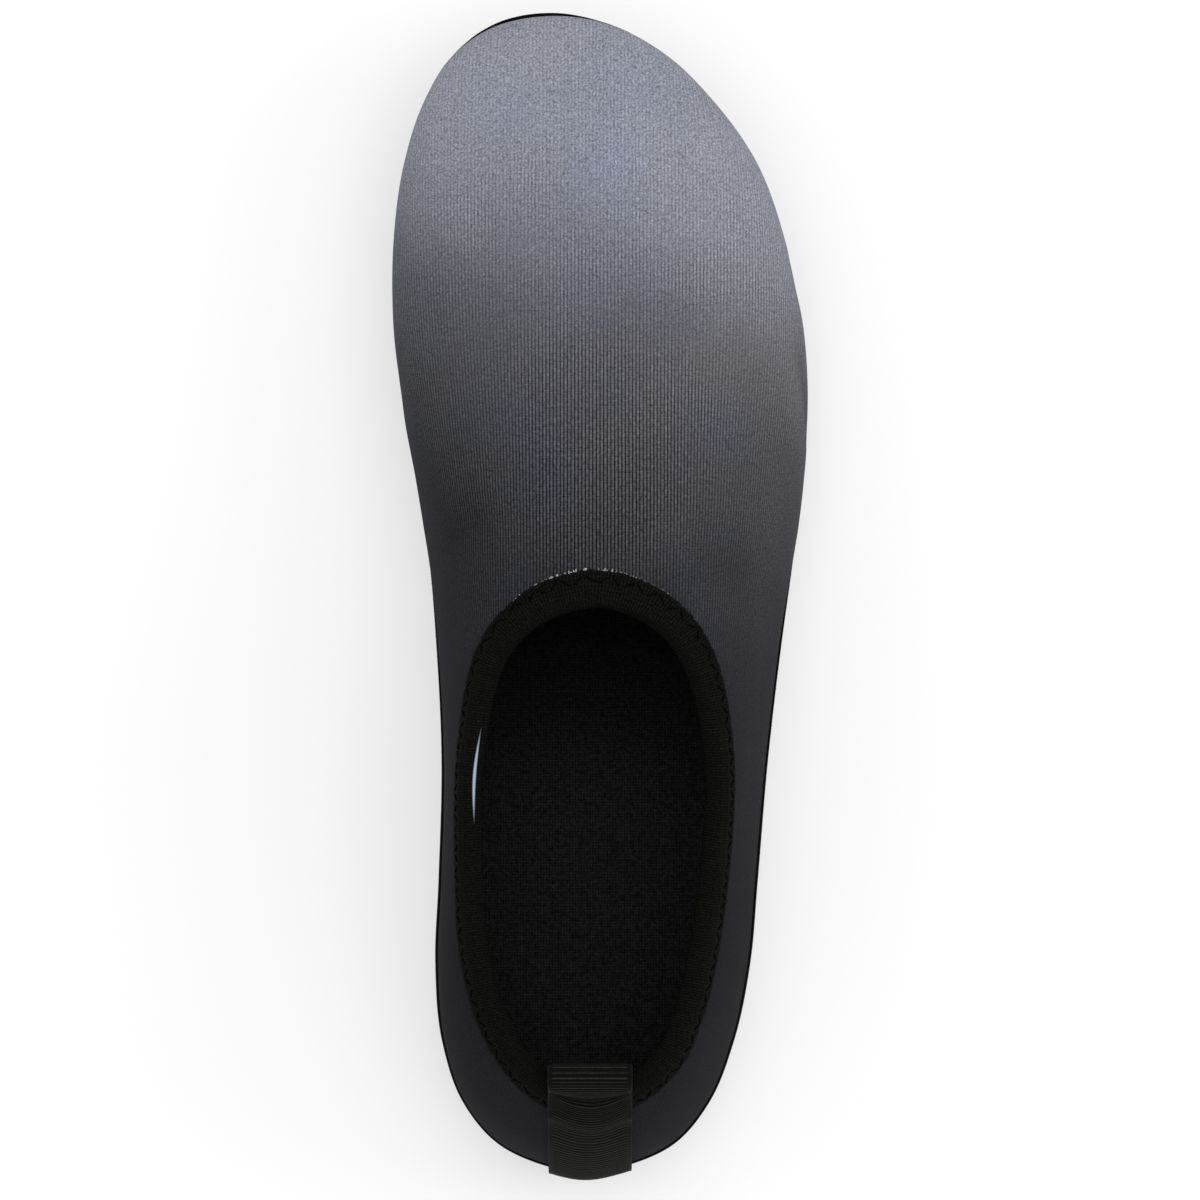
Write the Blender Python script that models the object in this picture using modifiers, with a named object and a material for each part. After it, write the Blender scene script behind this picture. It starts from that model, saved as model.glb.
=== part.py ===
"""Slip-on water shoe for the right foot.

A stretch knit upper, a folded knit binding round its collar, a webbing heel pull, a felt
seam band, a cupped rubber outsole with a ridged tread, and an insole.

Metres, +Z up, +Y to the toe, +X to the wearer's right, which is the outer side of the
foot. The origin is on the floor, under the middle of the shoe's length and width.
"""

import bmesh
import bpy
import numpy as np
from mathutils import Matrix

# Overall sizes
SHOE_LENGTH = 0.260
SHOE_WIDTH = 0.0932
INSTEP_HEIGHT = 0.0730  # top of the collar's front, above the underside
TOE_SPRING = 0.0215
TOE_CURL = 1.95  # power of the toe spring's curve
ARCH_LIFT = 0.0019
HEEL_LIFT = 0.0032
HEEL_CURL = 1.5

# Stations of the underside, as shares of the length from the heel
TOE_BREAK = 0.668
ARCH_FRONT = 0.570
ARCH_BACK = 0.223
HEEL_BREAK = 0.096

# Upper and the pieces on it
UPPER_WALL = 0.0022
BINDING_WIDTH = 0.0070
BINDING_THROAT_WIDTH = 0.0082
BINDING_THICKNESS = 0.0008
BINDING_INNER_WIDTH = 0.0055
THROAT_LENGTH = 0.1  # share of the length over which the binding widens to the throat
SEAM_BAND_HEIGHT = 0.0012
SEAM_BAND_PROUD = 0.0003
SEAM_BAND_ROUNDING = 0.0003
PULL_WIDTH = 0.0186
PULL_THICKNESS = 0.0013
PULL_CENTRE = -0.0022
LOOP_HEIGHT = 0.0168
LOOP_LEAN = 21.0  # degrees forward from upright
LOOP_HALF_GAP = 0.0024
LOOP_FLATTENS = 0.7  # share of its height at which the loop is straight across
PULL_INNER_LENGTH = 0.0090

# Outsole and insole
SIDEWALL_HEIGHT = 0.0145  # underside to seam line at the ball of the foot
EDGE_STEP = 0.0006  # how far the upper and the outsole's edge stand past each other
RAND_THICKNESS = 0.0027
RAND_HOLLOW = 0.0005
PLATE_THICKNESS = 0.0040
FLOOR_FILLET = 0.0010
FLOOR_RING = 0.5  # extra ring in the floors of cup and insole, as a share of the rim
BORDER_EASE = 0.0002
BORDER_EDGE = 0.0005
BORDER_GROOVE = 0.0010
NOTCH_DEPTH = 0.0013
NOTCH_HEIGHT = 0.0020
TREAD_ROUNDING = 0.0065
TREAD_SHOULDER = 0.0030  # how far in the rounding's middle lies
SHOULDER_HEIGHT = 0.28  # its height, as a share of the border's
RIDGE_HEIGHT = 0.0018
RING_WAVE = 0.06  # how far the tread's rings swing, as a share of their own radius
RING_WAVES = 3  # swings along the shoe's length
FLEX_CUT_DEPTH = 0.0020
FLEX_CUT_WIDTH = 0.0030
INSOLE_THICKNESS = 0.0030
INSOLE_EDGE = 0.0006
CLEARANCE = 0.0003
MERGE = 1e-6
SHARP_ANGLE = 40.0

# Where the fans of ribs at the two ends have their poles, as shares of the length
TOE_POLE = 0.8385
HEEL_POLE = 0.173

# Grid of ribs, as counts for a quarter of the way round
TOE_RIBS = 9
VAMP_RIBS = 8
COLLAR_RIBS = 12
HEEL_RIBS = 7
UPPER_ROWS = 10
SOLE_TOE_RIBS = 10
SOLE_SIDE_RIBS = 24
SOLE_HEEL_RIBS = 10
FRONT_CROWDING = 1.3  # columns lie closer together at the throat
THROAT_LEAN = 0.22  # how far forward the throat's column has its foot, in ribs
COLUMN_LEAN = 1.6  # power by which a column's rib changes with height

# Steps of the numerical searches
NEAR = 0.001
SHARE_STEP = 0.01
LOWEST_END = 0.3
SEARCH_REACH = 0.016

# Plan outline: station from the heel as a share of the length, then the inner (medial)
# and outer (lateral) edges as shares of half the width.
OUTLINE = np.array([
    # station, medial, lateral
    (0.010, -0.240, 0.101),
    (0.032, -0.504, 0.371),
    (0.067, -0.663, 0.530),
    (0.118, -0.760, 0.644),
    (0.187, -0.794, 0.725),
    (0.256, -0.779, 0.760),
    (0.360, -0.764, 0.809),
    (0.463, -0.790, 0.876),
    (0.532, -0.822, 0.929),
    (0.601, -0.880, 0.976),
    (0.670, -0.953, 1.000),
    (0.739, -0.996, 0.976),
    (0.808, -0.992, 0.891),
    (0.877, -0.933, 0.745),
    (0.928, -0.837, 0.539),
    (0.963, -0.721, 0.341),
    (0.989, -0.534, 0.092),
])
TOE_TIP = (1.000, -0.240)
HEEL_TIP = (0.0043, -0.073)

# Sides of the shoe by station: the seam line and the rand's lower border as shares of the
# sidewall height above the underside, which of upper (1) and outsole (0) stands out, the
# flare of the upper's foot, and the rise and reach of the ribs' handles on either side.
SIDES = np.array([
    # station, seam, border, stands_out, flare, rise_in, reach_in, rise_out, reach_out
    (0.000, 0.560, 0.150, 0.0, 0.00, 0.38, 0.50, 0.38, 0.50),
    (0.040, 0.720, 0.300, 0.0, 0.01, 0.40, 0.52, 0.40, 0.52),
    (0.100, 0.810, 0.390, 0.0, 0.02, 0.56, 0.60, 0.50, 0.52),
    (0.200, 0.820, 0.440, 0.0, 0.02, 0.70, 0.72, 0.54, 0.54),
    (0.300, 0.720, 0.380, 0.0, 0.02, 0.74, 0.76, 0.56, 0.55),
    (0.400, 0.630, 0.300, 0.1, 0.03, 0.70, 0.74, 0.56, 0.56),
    (0.480, 0.660, 0.310, 0.2, 0.05, 0.62, 0.68, 0.55, 0.60),
    (0.560, 0.720, 0.350, 0.5, 0.08, 0.58, 0.62, 0.54, 0.58),
    (0.640, 0.860, 0.430, 0.9, 0.12, 0.60, 0.60, 0.56, 0.56),
    (0.720, 0.950, 0.500, 1.0, 0.15, 0.68, 0.62, 0.64, 0.58),
    (0.800, 1.000, 0.550, 1.0, 0.15, 0.78, 0.66, 0.74, 0.64),
    (0.880, 1.000, 0.540, 1.0, 0.13, 0.88, 0.72, 0.86, 0.70),
    (0.950, 0.950, 0.500, 0.9, 0.09, 0.93, 0.75, 0.93, 0.75),
    (1.000, 0.750, 0.350, 0.5, 0.05, 0.95, 0.76, 0.95, 0.76),
])

# Crest of the vamp above the underside, as a share of the instep height
CREST = np.array([
    # station, height
    (0.496, 1.000),
    (0.532, 0.951),
    (0.601, 0.864),
    (0.670, 0.783),
    (0.739, 0.694),
    (0.808, 0.608),
    (0.877, 0.500),
])

# Middle line that the ribs run out from, as a share of half the width
SPINE = np.array([
    # station, across
    (0.173, -0.043),
    (0.270, -0.017),
    (0.360, -0.004),
    (0.430, -0.013),
    (0.496, -0.019),
    (0.580, -0.006),
    (0.670, 0.000),
    (0.750, -0.032),
    (0.8385, -0.069),
])

# Top edge of the collar: its place in plan, as the outline's, and its height above the
# underside as a share of the instep height.
COLLAR = np.array([
    # station, medial, lateral, height
    (0.094, -0.285, 0.195, 0.936),
    (0.118, -0.400, 0.326, 0.908),
    (0.148, -0.482, 0.395, 0.880),
    (0.178, -0.540, 0.444, 0.858),
    (0.223, -0.590, 0.493, 0.841),
    (0.260, -0.607, 0.522, 0.838),
    (0.301, -0.616, 0.545, 0.844),
    (0.354, -0.614, 0.551, 0.873),
    (0.392, -0.582, 0.523, 0.900),
    (0.421, -0.545, 0.483, 0.925),
    (0.446, -0.494, 0.424, 0.949),
    (0.468, -0.405, 0.335, 0.973),
    (0.484, -0.290, 0.220, 0.990),
])
COLLAR_FRONT = (0.4965, -0.019, 1.000)
COLLAR_BACK = (0.0755, -0.045, 0.948)

# Rings of the tread under the sole: how far out from the spine, as a share of the rim,
# and how deep below the ridges, as a share of the ridge height.
TREAD_RINGS = [
    # out, depth
    (0.775, 0.0),
    (0.735, 1.0),
    (0.695, 0.0),
    (0.575, 0.0),
    (0.535, 1.0),
    (0.495, 0.0),
    (0.375, 0.0),
    (0.335, 1.0),
    (0.295, 0.0),
]

# Flex cuts across the tread: station and turn in degrees
FLEX_CUTS = [
    # station, turn
    (0.864, 18.0),
    (0.192, -12.0),
]

# Fold of the binding over the edge: how far down from its top, as a share of the tape's
# thickness, and how far across from the outer face (0) to the inner face (1).
BINDING_FOLD = [
    # down, across
    (1.25, 0.0),
    (0.12, 0.14),
    (0.0, 0.5),
    (0.12, 0.88),
    (1.25, 1.0),
]

# Face of the rand: how far in, as a share of its hollow, and how far up from the border,
# as a share of the height to its top.
RAND_PROFILE = [
    # into, up
    (0.8, 1.0),
    (0.0, 0.9),
    (1.0, 0.45),
]

# Rows of the heel pull, as shares of the way up from the seam to the binding, over the
# binding's face, and down inside the collar
PULL_ON_UPPER = (0.0, 0.25, 0.5, 0.75, 0.9)
PULL_OVER_TAPE = (0.0, 0.5, 1.0)
PULL_WITHIN = (0.0, 0.5, 1.0)

# Loop of the heel pull: share of its height and of its half gap
LOOP = np.array([
    # up, open
    (0.26, 0.66),
    (0.42, 0.84),
    (0.60, 1.00),
    (0.78, 0.96),
    (0.91, 0.68),
    (0.98, 0.30),
])


def smooth(at, stations, values):
    """Value at each place on the smooth curve through a column of a table.

    A cubic between neighbours, with the slopes of the column's own differences. Past
    either end it keeps the end's value.
    """
    slopes = np.gradient(values, stations)
    row = np.clip(np.searchsorted(stations, at, side="right") - 1, 0, len(stations) - 2)
    span = stations[row + 1] - stations[row]
    t = np.clip((at - stations[row]) / span, 0.0, 1.0)
    start = (1 + 2 * t) * (1 - t) ** 2 * values[row] + t * (1 - t) ** 2 * span * slopes[row]
    end = t * t * (3 - 2 * t) * values[row + 1] - t * t * (1 - t) * span * slopes[row + 1]
    return start + end


def column(table, index, y):
    """A table's column at each y along the shoe."""
    return smooth(np.asarray(y) / SHOE_LENGTH + 0.5, table[:, 0], table[:, index])


def plan_point(station, across):
    return (across * SHOE_WIDTH / 2, (station - 0.5) * SHOE_LENGTH)


def closed_curve(points, count=1500):
    """Smooth closed curve through points of the plan, spaced by their chords."""
    points = np.array(points)
    wrapped = np.vstack([points[-3:], points, points[:4]])
    steps = np.linalg.norm(np.diff(wrapped, axis=0), axis=1)
    chord = np.concatenate([[0.0], np.cumsum(steps)])
    at = np.linspace(chord[3], chord[3 + len(points)], count, endpoint=False)
    return np.column_stack([smooth(at, chord, wrapped[:, axis]) for axis in (0, 1)])


def loop_of(table, front, back):
    """Plan curve from the front point down the outer side and back up the inner side."""
    outer = [plan_point(row[0], row[2]) for row in table[::-1]]
    inner = [plan_point(row[0], row[1]) for row in table]
    return closed_curve([plan_point(*front), *outer, plan_point(*back), *inner])


def underside(y):
    """Height of the sole's underside: toe spring, arch and a little lift at the heel."""
    station = np.asarray(y) / SHOE_LENGTH + 0.5
    toe = np.clip((station - TOE_BREAK) / (1 - TOE_BREAK), 0, None) ** TOE_CURL
    span = np.clip((station - ARCH_BACK) / (ARCH_FRONT - ARCH_BACK), 0, 1)
    arch = np.sin(np.pi * span) ** 2
    heel = np.clip(1 - station / HEEL_BREAK, 0, None) ** HEEL_CURL
    return TOE_SPRING * toe + ARCH_LIFT * arch + HEEL_LIFT * heel


def rib_base(q):
    """Spine point and outward direction of each rib.

    q runs clockwise seen from above: 0 at the toe tip, 1 to 2 down the outer side, 3 at
    the heel's back, 4 to 5 up the inner side, 6 at the toe tip again.
    """
    toe, heel = (TOE_POLE - 0.5) * SHOE_LENGTH, (HEEL_POLE - 0.5) * SHOE_LENGTH
    y = np.interp(q, [0, 1, 2, 4, 5, 6], [toe, toe, heel, heel, toe, toe])
    angle = np.radians(np.interp(q, range(7), [90, 0, 0, -90, -180, -180, -270]))
    x = column(SPINE, 1, y) * SHOE_WIDTH / 2
    return np.stack([x, y], -1), np.stack([np.cos(angle), np.sin(angle)], -1)


def crossing(loop, origin, direction):
    """Distance from each origin along its direction to the loop, or 0 where it misses."""
    away = loop[None] - origin[:, None]
    side = direction[:, None, 0] * away[..., 1] - direction[:, None, 1] * away[..., 0]
    ahead = (away * direction[:, None]).sum(-1)
    next_side, next_ahead = np.roll(side, -1, 1), np.roll(ahead, -1, 1)
    span = np.where(side == next_side, 1.0, side - next_side)
    distance = ahead + side / span * (next_ahead - ahead)
    met = (side * next_side <= 0) & (side != next_side) & (distance > 0)
    return np.where(met, distance, 0.0).max(axis=1)


def bernstein(u):
    return (1 - u) ** 3, 3 * u * (1 - u) ** 2, 3 * u * u * (1 - u), u**3


def rib_radius(u, rim, flare, reach):
    """Distance from the spine along a rib, scaled so that its widest place is the rim."""
    b0, b1, b2, _ = bernstein(u)
    c0, c1, c2, _ = bernstein(np.linspace(0, 0.4, 81))
    flare, reach = np.asarray(flare), np.asarray(reach)
    widest = (c0 + (1 + flare[..., None]) * c1 + reach[..., None] * c2).max(-1)
    return rim * (b0 + (1 + flare) * b1 + reach * b2) / widest


class Ribs:
    """The upper's surface as ribs, each a cubic curve from the seam up to the spine.

    A rib leaves the seam nearly upright, a share `rise` of the way up, and comes in to
    the spine level with the crest, from a share `reach` of the way out. Behind the
    throat a rib ends at the collar's edge, which it passes through.
    """

    def __init__(self, samples=2401):
        self.q = np.linspace(0, 6, samples)
        self.outline = loop_of(OUTLINE, TOE_TIP, HEEL_TIP)
        self.collar = loop_of(COLLAR, COLLAR_FRONT[:2], COLLAR_BACK[:2])
        self.values = self.measure(self.q)

    def measure(self, q):
        """Rim, seam, handles, crest and end of each rib."""
        spine, direction = rib_base(q)
        outline = crossing(self.outline, spine, direction)
        y = spine[:, 1] + direction[:, 1] * outline
        stands_out = column(SIDES, 3, y)
        inner = 0.5 - 0.5 * direction[:, 0]
        rise = column(SIDES, 5, y) * inner + column(SIDES, 7, y) * (1 - inner)
        reach = column(SIDES, 6, y) * inner + column(SIDES, 8, y) * (1 - inner)
        flare = column(SIDES, 4, y)
        rim = outline - EDGE_STEP * np.clip(1 - 2 * stands_out, 0, 1)
        foot = underside(y) + SIDEWALL_HEIGHT * column(SIDES, 1, y)
        crest = self.crest_height(spine[:, 1])
        ahead = self.crest_height(spine[:, 1] + NEAR)
        fanned = np.abs(direction[:, 1]) * (spine[:, 1] > 0)
        drop = (crest - ahead) / NEAR * fanned * reach * rim
        end, top = self.meet_collar(spine, direction, rim, foot, rise, reach, flare)
        crest = np.where(end < 1, top, crest)
        return dict(rim=rim, foot=foot, rise=rise, reach=reach, flare=flare, crest=crest,
                    drop=drop, outline=outline, stands_out=stands_out,
                    x=spine[:, 0], y=spine[:, 1], dx=direction[:, 0], dy=direction[:, 1])

    def crest_height(self, y):
        return underside(y) + INSTEP_HEIGHT * column(CREST, 1, y)

    def meet_collar(self, spine, direction, rim, foot, rise, reach, flare):
        """Where each rib meets the collar's edge, and the crest that takes it there."""
        out = crossing(self.collar, spine, direction)
        low, high = np.full(len(out), LOWEST_END), np.ones(len(out))
        for _ in range(40):
            middle = (low + high) / 2
            wide = rib_radius(middle, rim, flare, reach) > out
            low, high = np.where(wide, middle, low), np.where(wide, high, middle)
        end = np.where(out > 0, high, 1.0)
        y = spine[:, 1] + direction[:, 1] * out
        edge = collar_height(y)
        _, b1, b2, b3 = bernstein(end)
        return end, foot + (edge - foot) / (rise * b1 + b2 + b3)

    def at(self, q):
        return {name: np.interp(q, self.q, line) for name, line in self.values.items()}

    def place(self, q, u):
        """Points of the outer surface at rib q and share u of the way up its curve."""
        rib = self.at(q)
        _, b1, b2, b3 = bernstein(u)
        radius = rib_radius(u, rib["rim"], rib["flare"], rib["reach"])
        climb = rib["crest"] - rib["foot"]
        z = rib["foot"] + (climb - rib["drop"]) * (rib["rise"] * b1 + b2) + climb * b3
        return np.stack([rib["x"] + rib["dx"] * radius, rib["y"] + rib["dy"] * radius, z], -1)

    def normal(self, q, u):
        """Outward direction of the surface, from short steps both ways."""
        along = self.place(q + 0.01, u) - self.place(q - 0.01, u)
        up = self.place(q, u + 0.005) - self.place(q, u - 0.005)
        out = np.cross(up, along)
        return out / np.linalg.norm(out, axis=-1, keepdims=True)

    def offset(self, q, u, distance):
        return self.place(q, u) + self.normal(q, u) * np.asarray(distance)[..., None]

    def locate(self, plan):
        """Rib q and share u of the surface over each point of the plan."""
        q = rib_of(plan)
        rib = self.at(q)
        out = np.hypot(plan[..., 0] - rib["x"], plan[..., 1] - rib["y"])
        low, high = np.full(out.shape, LOWEST_END), np.ones(out.shape)
        for _ in range(30):
            middle = (low + high) / 2
            wide = rib_radius(middle, rib["rim"], rib["flare"], rib["reach"]) > out
            low, high = np.where(wide, middle, low), np.where(wide, high, middle)
        return q, (low + high) / 2

    def below_collar(self, points, outward, distance):
        """Rib and share of the places that lie `distance` down from the collar's edge."""
        reach = np.linspace(0, SEARCH_REACH, 81)
        plan = points[:, None] + outward[:, None] * reach[None, :, None]
        q, u = self.locate(plan)
        steps = np.linalg.norm(np.diff(self.place(q, u), axis=1), axis=-1)
        walked = np.concatenate([np.zeros((len(points), 1)), steps.cumsum(1)], 1)
        distance = np.broadcast_to(distance, len(points))
        away = np.array([np.interp(distance[k], walked[k], reach) for k in range(len(points))])
        return self.locate(points + outward * away[:, None])


def collar_height(y):
    """Height of the collar's top edge along the shoe."""
    stations = np.concatenate([[COLLAR_BACK[0]], COLLAR[:, 0], [COLLAR_FRONT[0]]])
    shares = np.concatenate([[COLLAR_BACK[2]], COLLAR[:, 3], [COLLAR_FRONT[2]]])
    share = smooth(np.asarray(y) / SHOE_LENGTH + 0.5, stations, shares)
    return underside(y) + INSTEP_HEIGHT * share


def rib_of(plan):
    """Rib q that passes over each point of the plan between the two poles or behind."""
    toe, heel = (TOE_POLE - 0.5) * SHOE_LENGTH, (HEEL_POLE - 0.5) * SHOE_LENGTH
    x, y = plan[..., 0], plan[..., 1]
    side = (toe - y) / (toe - heel)
    outer = x >= column(SPINE, 1, y) * SHOE_WIDTH / 2
    heel_x = SPINE[0, 1] * SHOE_WIDTH / 2
    angle = np.degrees(np.arctan2(heel - y, x - heel_x))
    return np.where(y >= heel, np.where(outer, 1 + side, 5 - side), 2 + angle / 90)


def throat_rib():
    """Rib of the throat, where the crest meets the collar's edge."""
    return (TOE_POLE - COLLAR_FRONT[0]) / (TOE_POLE - HEEL_POLE) + 1


def crowd_of(count, power):
    """Even shares from 0, or crowded to the start (power over 1) or to the end."""
    share = np.arange(count) / count
    return share**power if power >= 1 else 1 - (1 - share) ** (1 / power)


def collar_points(ribs):
    """Points round the collar's edge in plan from its front, clockwise, and the
    directions out from the opening there."""
    loop = np.vstack([ribs.collar, ribs.collar[:1]])
    walked = np.concatenate([[0], np.cumsum(np.linalg.norm(np.diff(loop, axis=0), axis=1))])
    behind = np.flatnonzero(ribs.collar[:, 1] < (HEEL_POLE - 0.5) * SHOE_LENGTH)
    back = behind[np.abs(rib_of(ribs.collar[behind]) - 3).argmin()]
    stops = [0.0, walked[behind[0]], walked[back], walked[behind[-1]], walked[-1]]
    counts = [COLLAR_RIBS, HEEL_RIBS, HEEL_RIBS, COLLAR_RIBS]
    crowded = (FRONT_CROWDING, 1, 1, 1 / FRONT_CROWDING)
    at = np.concatenate([
        stops[k] + (stops[k + 1] - stops[k]) * crowd_of(counts[k], crowded[k]) for k in range(4)
    ])
    points = np.column_stack([np.interp(at, walked, loop[:, axis]) for axis in (0, 1)])
    ahead = np.column_stack([np.interp(at + NEAR, walked, loop[:, axis]) for axis in (0, 1)])
    along = (ahead - points) / np.linalg.norm(ahead - points, axis=1, keepdims=True)
    return points, np.column_stack([-along[:, 1], along[:, 0]])


def upper_columns(ribs):
    """Grid columns clockwise from the toe tip: rib at the foot, rib at the top and share
    of that rib at the top. The vamp's columns end on the crest, the others at the collar."""
    throat = throat_rib()
    foot_throat = throat - THROAT_LEAN
    toe = np.arange(TOE_RIBS) / TOE_RIBS
    heel = 2 + np.arange(HEEL_RIBS) / HEEL_RIBS
    vamp = np.arange(VAMP_RIBS) / VAMP_RIBS
    quarter = np.arange(COLLAR_RIBS) / COLLAR_RIBS
    foot = np.concatenate([toe, 1 + vamp * (foot_throat - 1),
                           foot_throat + quarter * (2 - foot_throat), heel])
    foot = np.concatenate([foot, [3.0], (6 - foot)[:0:-1]])
    front = np.concatenate([toe, 1 + vamp * (throat - 1)])
    points, outward = collar_points(ribs)
    q, u = ribs.below_collar(points, outward, BINDING_THICKNESS + 2 * CLEARANCE)
    top = np.concatenate([front, q, [6 - q[0]], (6 - front)[:0:-1]])
    share = np.concatenate([np.ones(len(front)), u, [u[0]], np.ones(len(front) - 1)])
    return foot, top, share


def loft(rings):
    """Vertices and faces of a closed run of rings. A ring of half as many points is
    joined two to one."""
    starts = np.concatenate([[0], np.cumsum([len(ring) for ring in rings])])
    faces = []
    for k in range(len(rings) - 1):
        a, b, n, m = starts[k], starts[k + 1], len(rings[k]), len(rings[k + 1])
        for i in range(min(n, m)):
            j = (i + 1) % min(n, m)
            if n == m:
                faces.append((a + i, b + i, b + j, a + j))
            elif n < m:
                mid, last = 2 * i + 1, 2 * j
                faces += [(a + i, b + 2 * i, b + mid), (a + i, b + mid, a + j),
                          (a + j, b + mid, b + last)]
            else:
                mid, last = 2 * i + 1, 2 * j
                faces += [(b + i, a + mid, a + 2 * i), (b + i, b + j, a + mid),
                          (b + j, a + last, a + mid)]
    return np.vstack(rings), faces


def add_object(name, points, faces, material, collection, closed=True):
    """Named object of merged points, with its faces turned outwards and shaded smooth."""
    mesh = bpy.data.meshes.new(name)
    mesh.from_pydata(np.asarray(points).tolist(), [], faces)
    shape = bmesh.new()
    shape.from_mesh(mesh)
    bmesh.ops.remove_doubles(shape, verts=shape.verts, dist=MERGE)
    if closed:
        bmesh.ops.recalc_face_normals(shape, faces=shape.faces)
    bmesh.ops.triangulate(shape, faces=shape.faces, quad_method="SHORT_EDGE")
    shape.to_mesh(mesh)
    shape.free()
    mesh.shade_smooth()
    mesh.set_sharp_from_angle(angle=np.radians(SHARP_ANGLE))
    mesh.materials.append(material)
    item = bpy.data.objects.new(name, mesh)
    collection.objects.link(item)
    return item


def finish(name, colour, roughness):
    """Principled material of one piece."""
    material = bpy.data.materials.new(name)
    material.use_nodes = True
    shader = material.node_tree.nodes["Principled BSDF"]
    shader.inputs["Base Color"].default_value = (*colour, 1.0)
    shader.inputs["Roughness"].default_value = roughness
    shader.inputs["Metallic"].default_value = 0.0
    material.diffuse_color = (*colour, 1.0)
    return material


def make_upper(ribs, collection):
    """Hollow upper: the ribs' surface with its wall inwards, open at collar and below."""
    foot, top, share = upper_columns(ribs)
    climb = np.linspace(0, 1, UPPER_ROWS + 1)[:, None]
    q = foot + (top - foot) * climb**COLUMN_LEAN
    rows = ribs.place(q, climb * share)
    points, faces = loft(list(rows))
    upper = add_object("upper", points, faces, finish("stretch_knit", (0.16, 0.16, 0.19), 0.85),
                       collection, closed=False)
    wall = upper.modifiers.new("wall", "SOLIDIFY")
    wall.thickness = UPPER_WALL
    wall.offset = -1
    wall.use_even_offset = True
    return upper


def make_binding(ribs, collection):
    """Knit tape folded over the collar's edge, outside and in."""
    points, outward = collar_points(ribs)
    front = (points[:, 1] / SHOE_LENGTH + 0.5 - COLLAR_FRONT[0]) / THROAT_LENGTH
    width = BINDING_WIDTH + (BINDING_THROAT_WIDTH - BINDING_WIDTH) * np.clip(1 + front, 0, 1)
    outer_face = CLEARANCE + BINDING_THICKNESS
    inner_face = -(UPPER_WALL + CLEARANCE + BINDING_THICKNESS)
    gap_out, gap_in = CLEARANCE, -(UPPER_WALL + CLEARANCE)
    flare = CLEARANCE / 2
    fold = [
        (down * BINDING_THICKNESS, outer_face + across * (inner_face - outer_face))
        for down, across in BINDING_FOLD
    ]
    profile = [
        (width, gap_out + flare),
        (width, outer_face + flare),
        (width / 2, outer_face + flare),
        *fold,
        (BINDING_INNER_WIDTH, inner_face - flare),
        (BINDING_INNER_WIDTH, gap_in - flare),
        (BINDING_THICKNESS, gap_in),
        (BINDING_THICKNESS, gap_out),
        (width / 2, gap_out + flare),
    ]
    rings = [
        ribs.offset(*ribs.below_collar(points, outward, down), np.full(len(points), out))
        for down, out in profile
    ]
    points, faces = loft([*rings, rings[0]])
    return add_object("collar_binding", points, faces,
                      finish("binding_knit", (0.012, 0.012, 0.013), 0.9), collection)


def sole_columns():
    """Ribs of the outsole's columns, in pairs either side of the spine."""
    toe = np.arange(SOLE_TOE_RIBS) / SOLE_TOE_RIBS
    side = 1 + np.arange(SOLE_SIDE_RIBS) / SOLE_SIDE_RIBS
    heel = 2 + np.arange(SOLE_HEEL_RIBS) / SOLE_HEEL_RIBS
    outer = np.concatenate([toe, side, heel])
    return np.concatenate([outer, [3.0], (6 - outer)[:0:-1]])


def between(q):
    """The given columns with one more halfway between each two."""
    following = np.append(q[1:], 6.0)
    return np.column_stack([q, (q + following) / 2]).ravel()


def plan_ring(rib, radius):
    return np.stack([rib["x"] + rib["dx"] * radius, rib["y"] + rib["dy"] * radius], -1)


def ring_at(rib, radius, height):
    plan = plan_ring(rib, radius)
    return np.column_stack([plan, np.broadcast_to(height, len(plan))])


def sole_heights(rib):
    """Rand top and rand border of each rib, and the rim of the outsole's edge."""
    y = rib["y"] + rib["dy"] * rib["outline"]
    rand_top = rib["foot"] - SEAM_BAND_HEIGHT - 2 * CLEARANCE
    border = underside(y) + SIDEWALL_HEIGHT * column(SIDES, 2, y)
    rim = rib["outline"] - EDGE_STEP * np.clip(2 * rib["stands_out"] - 1, 0, 1)
    return rim, rand_top, border


def floor_ring(rib, radius, lift):
    """Ring at a height above the underside, which follows the toe spring and arch."""
    plan = plan_ring(rib, radius)
    return np.column_stack([plan, underside(plan[:, 1]) + lift])


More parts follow.
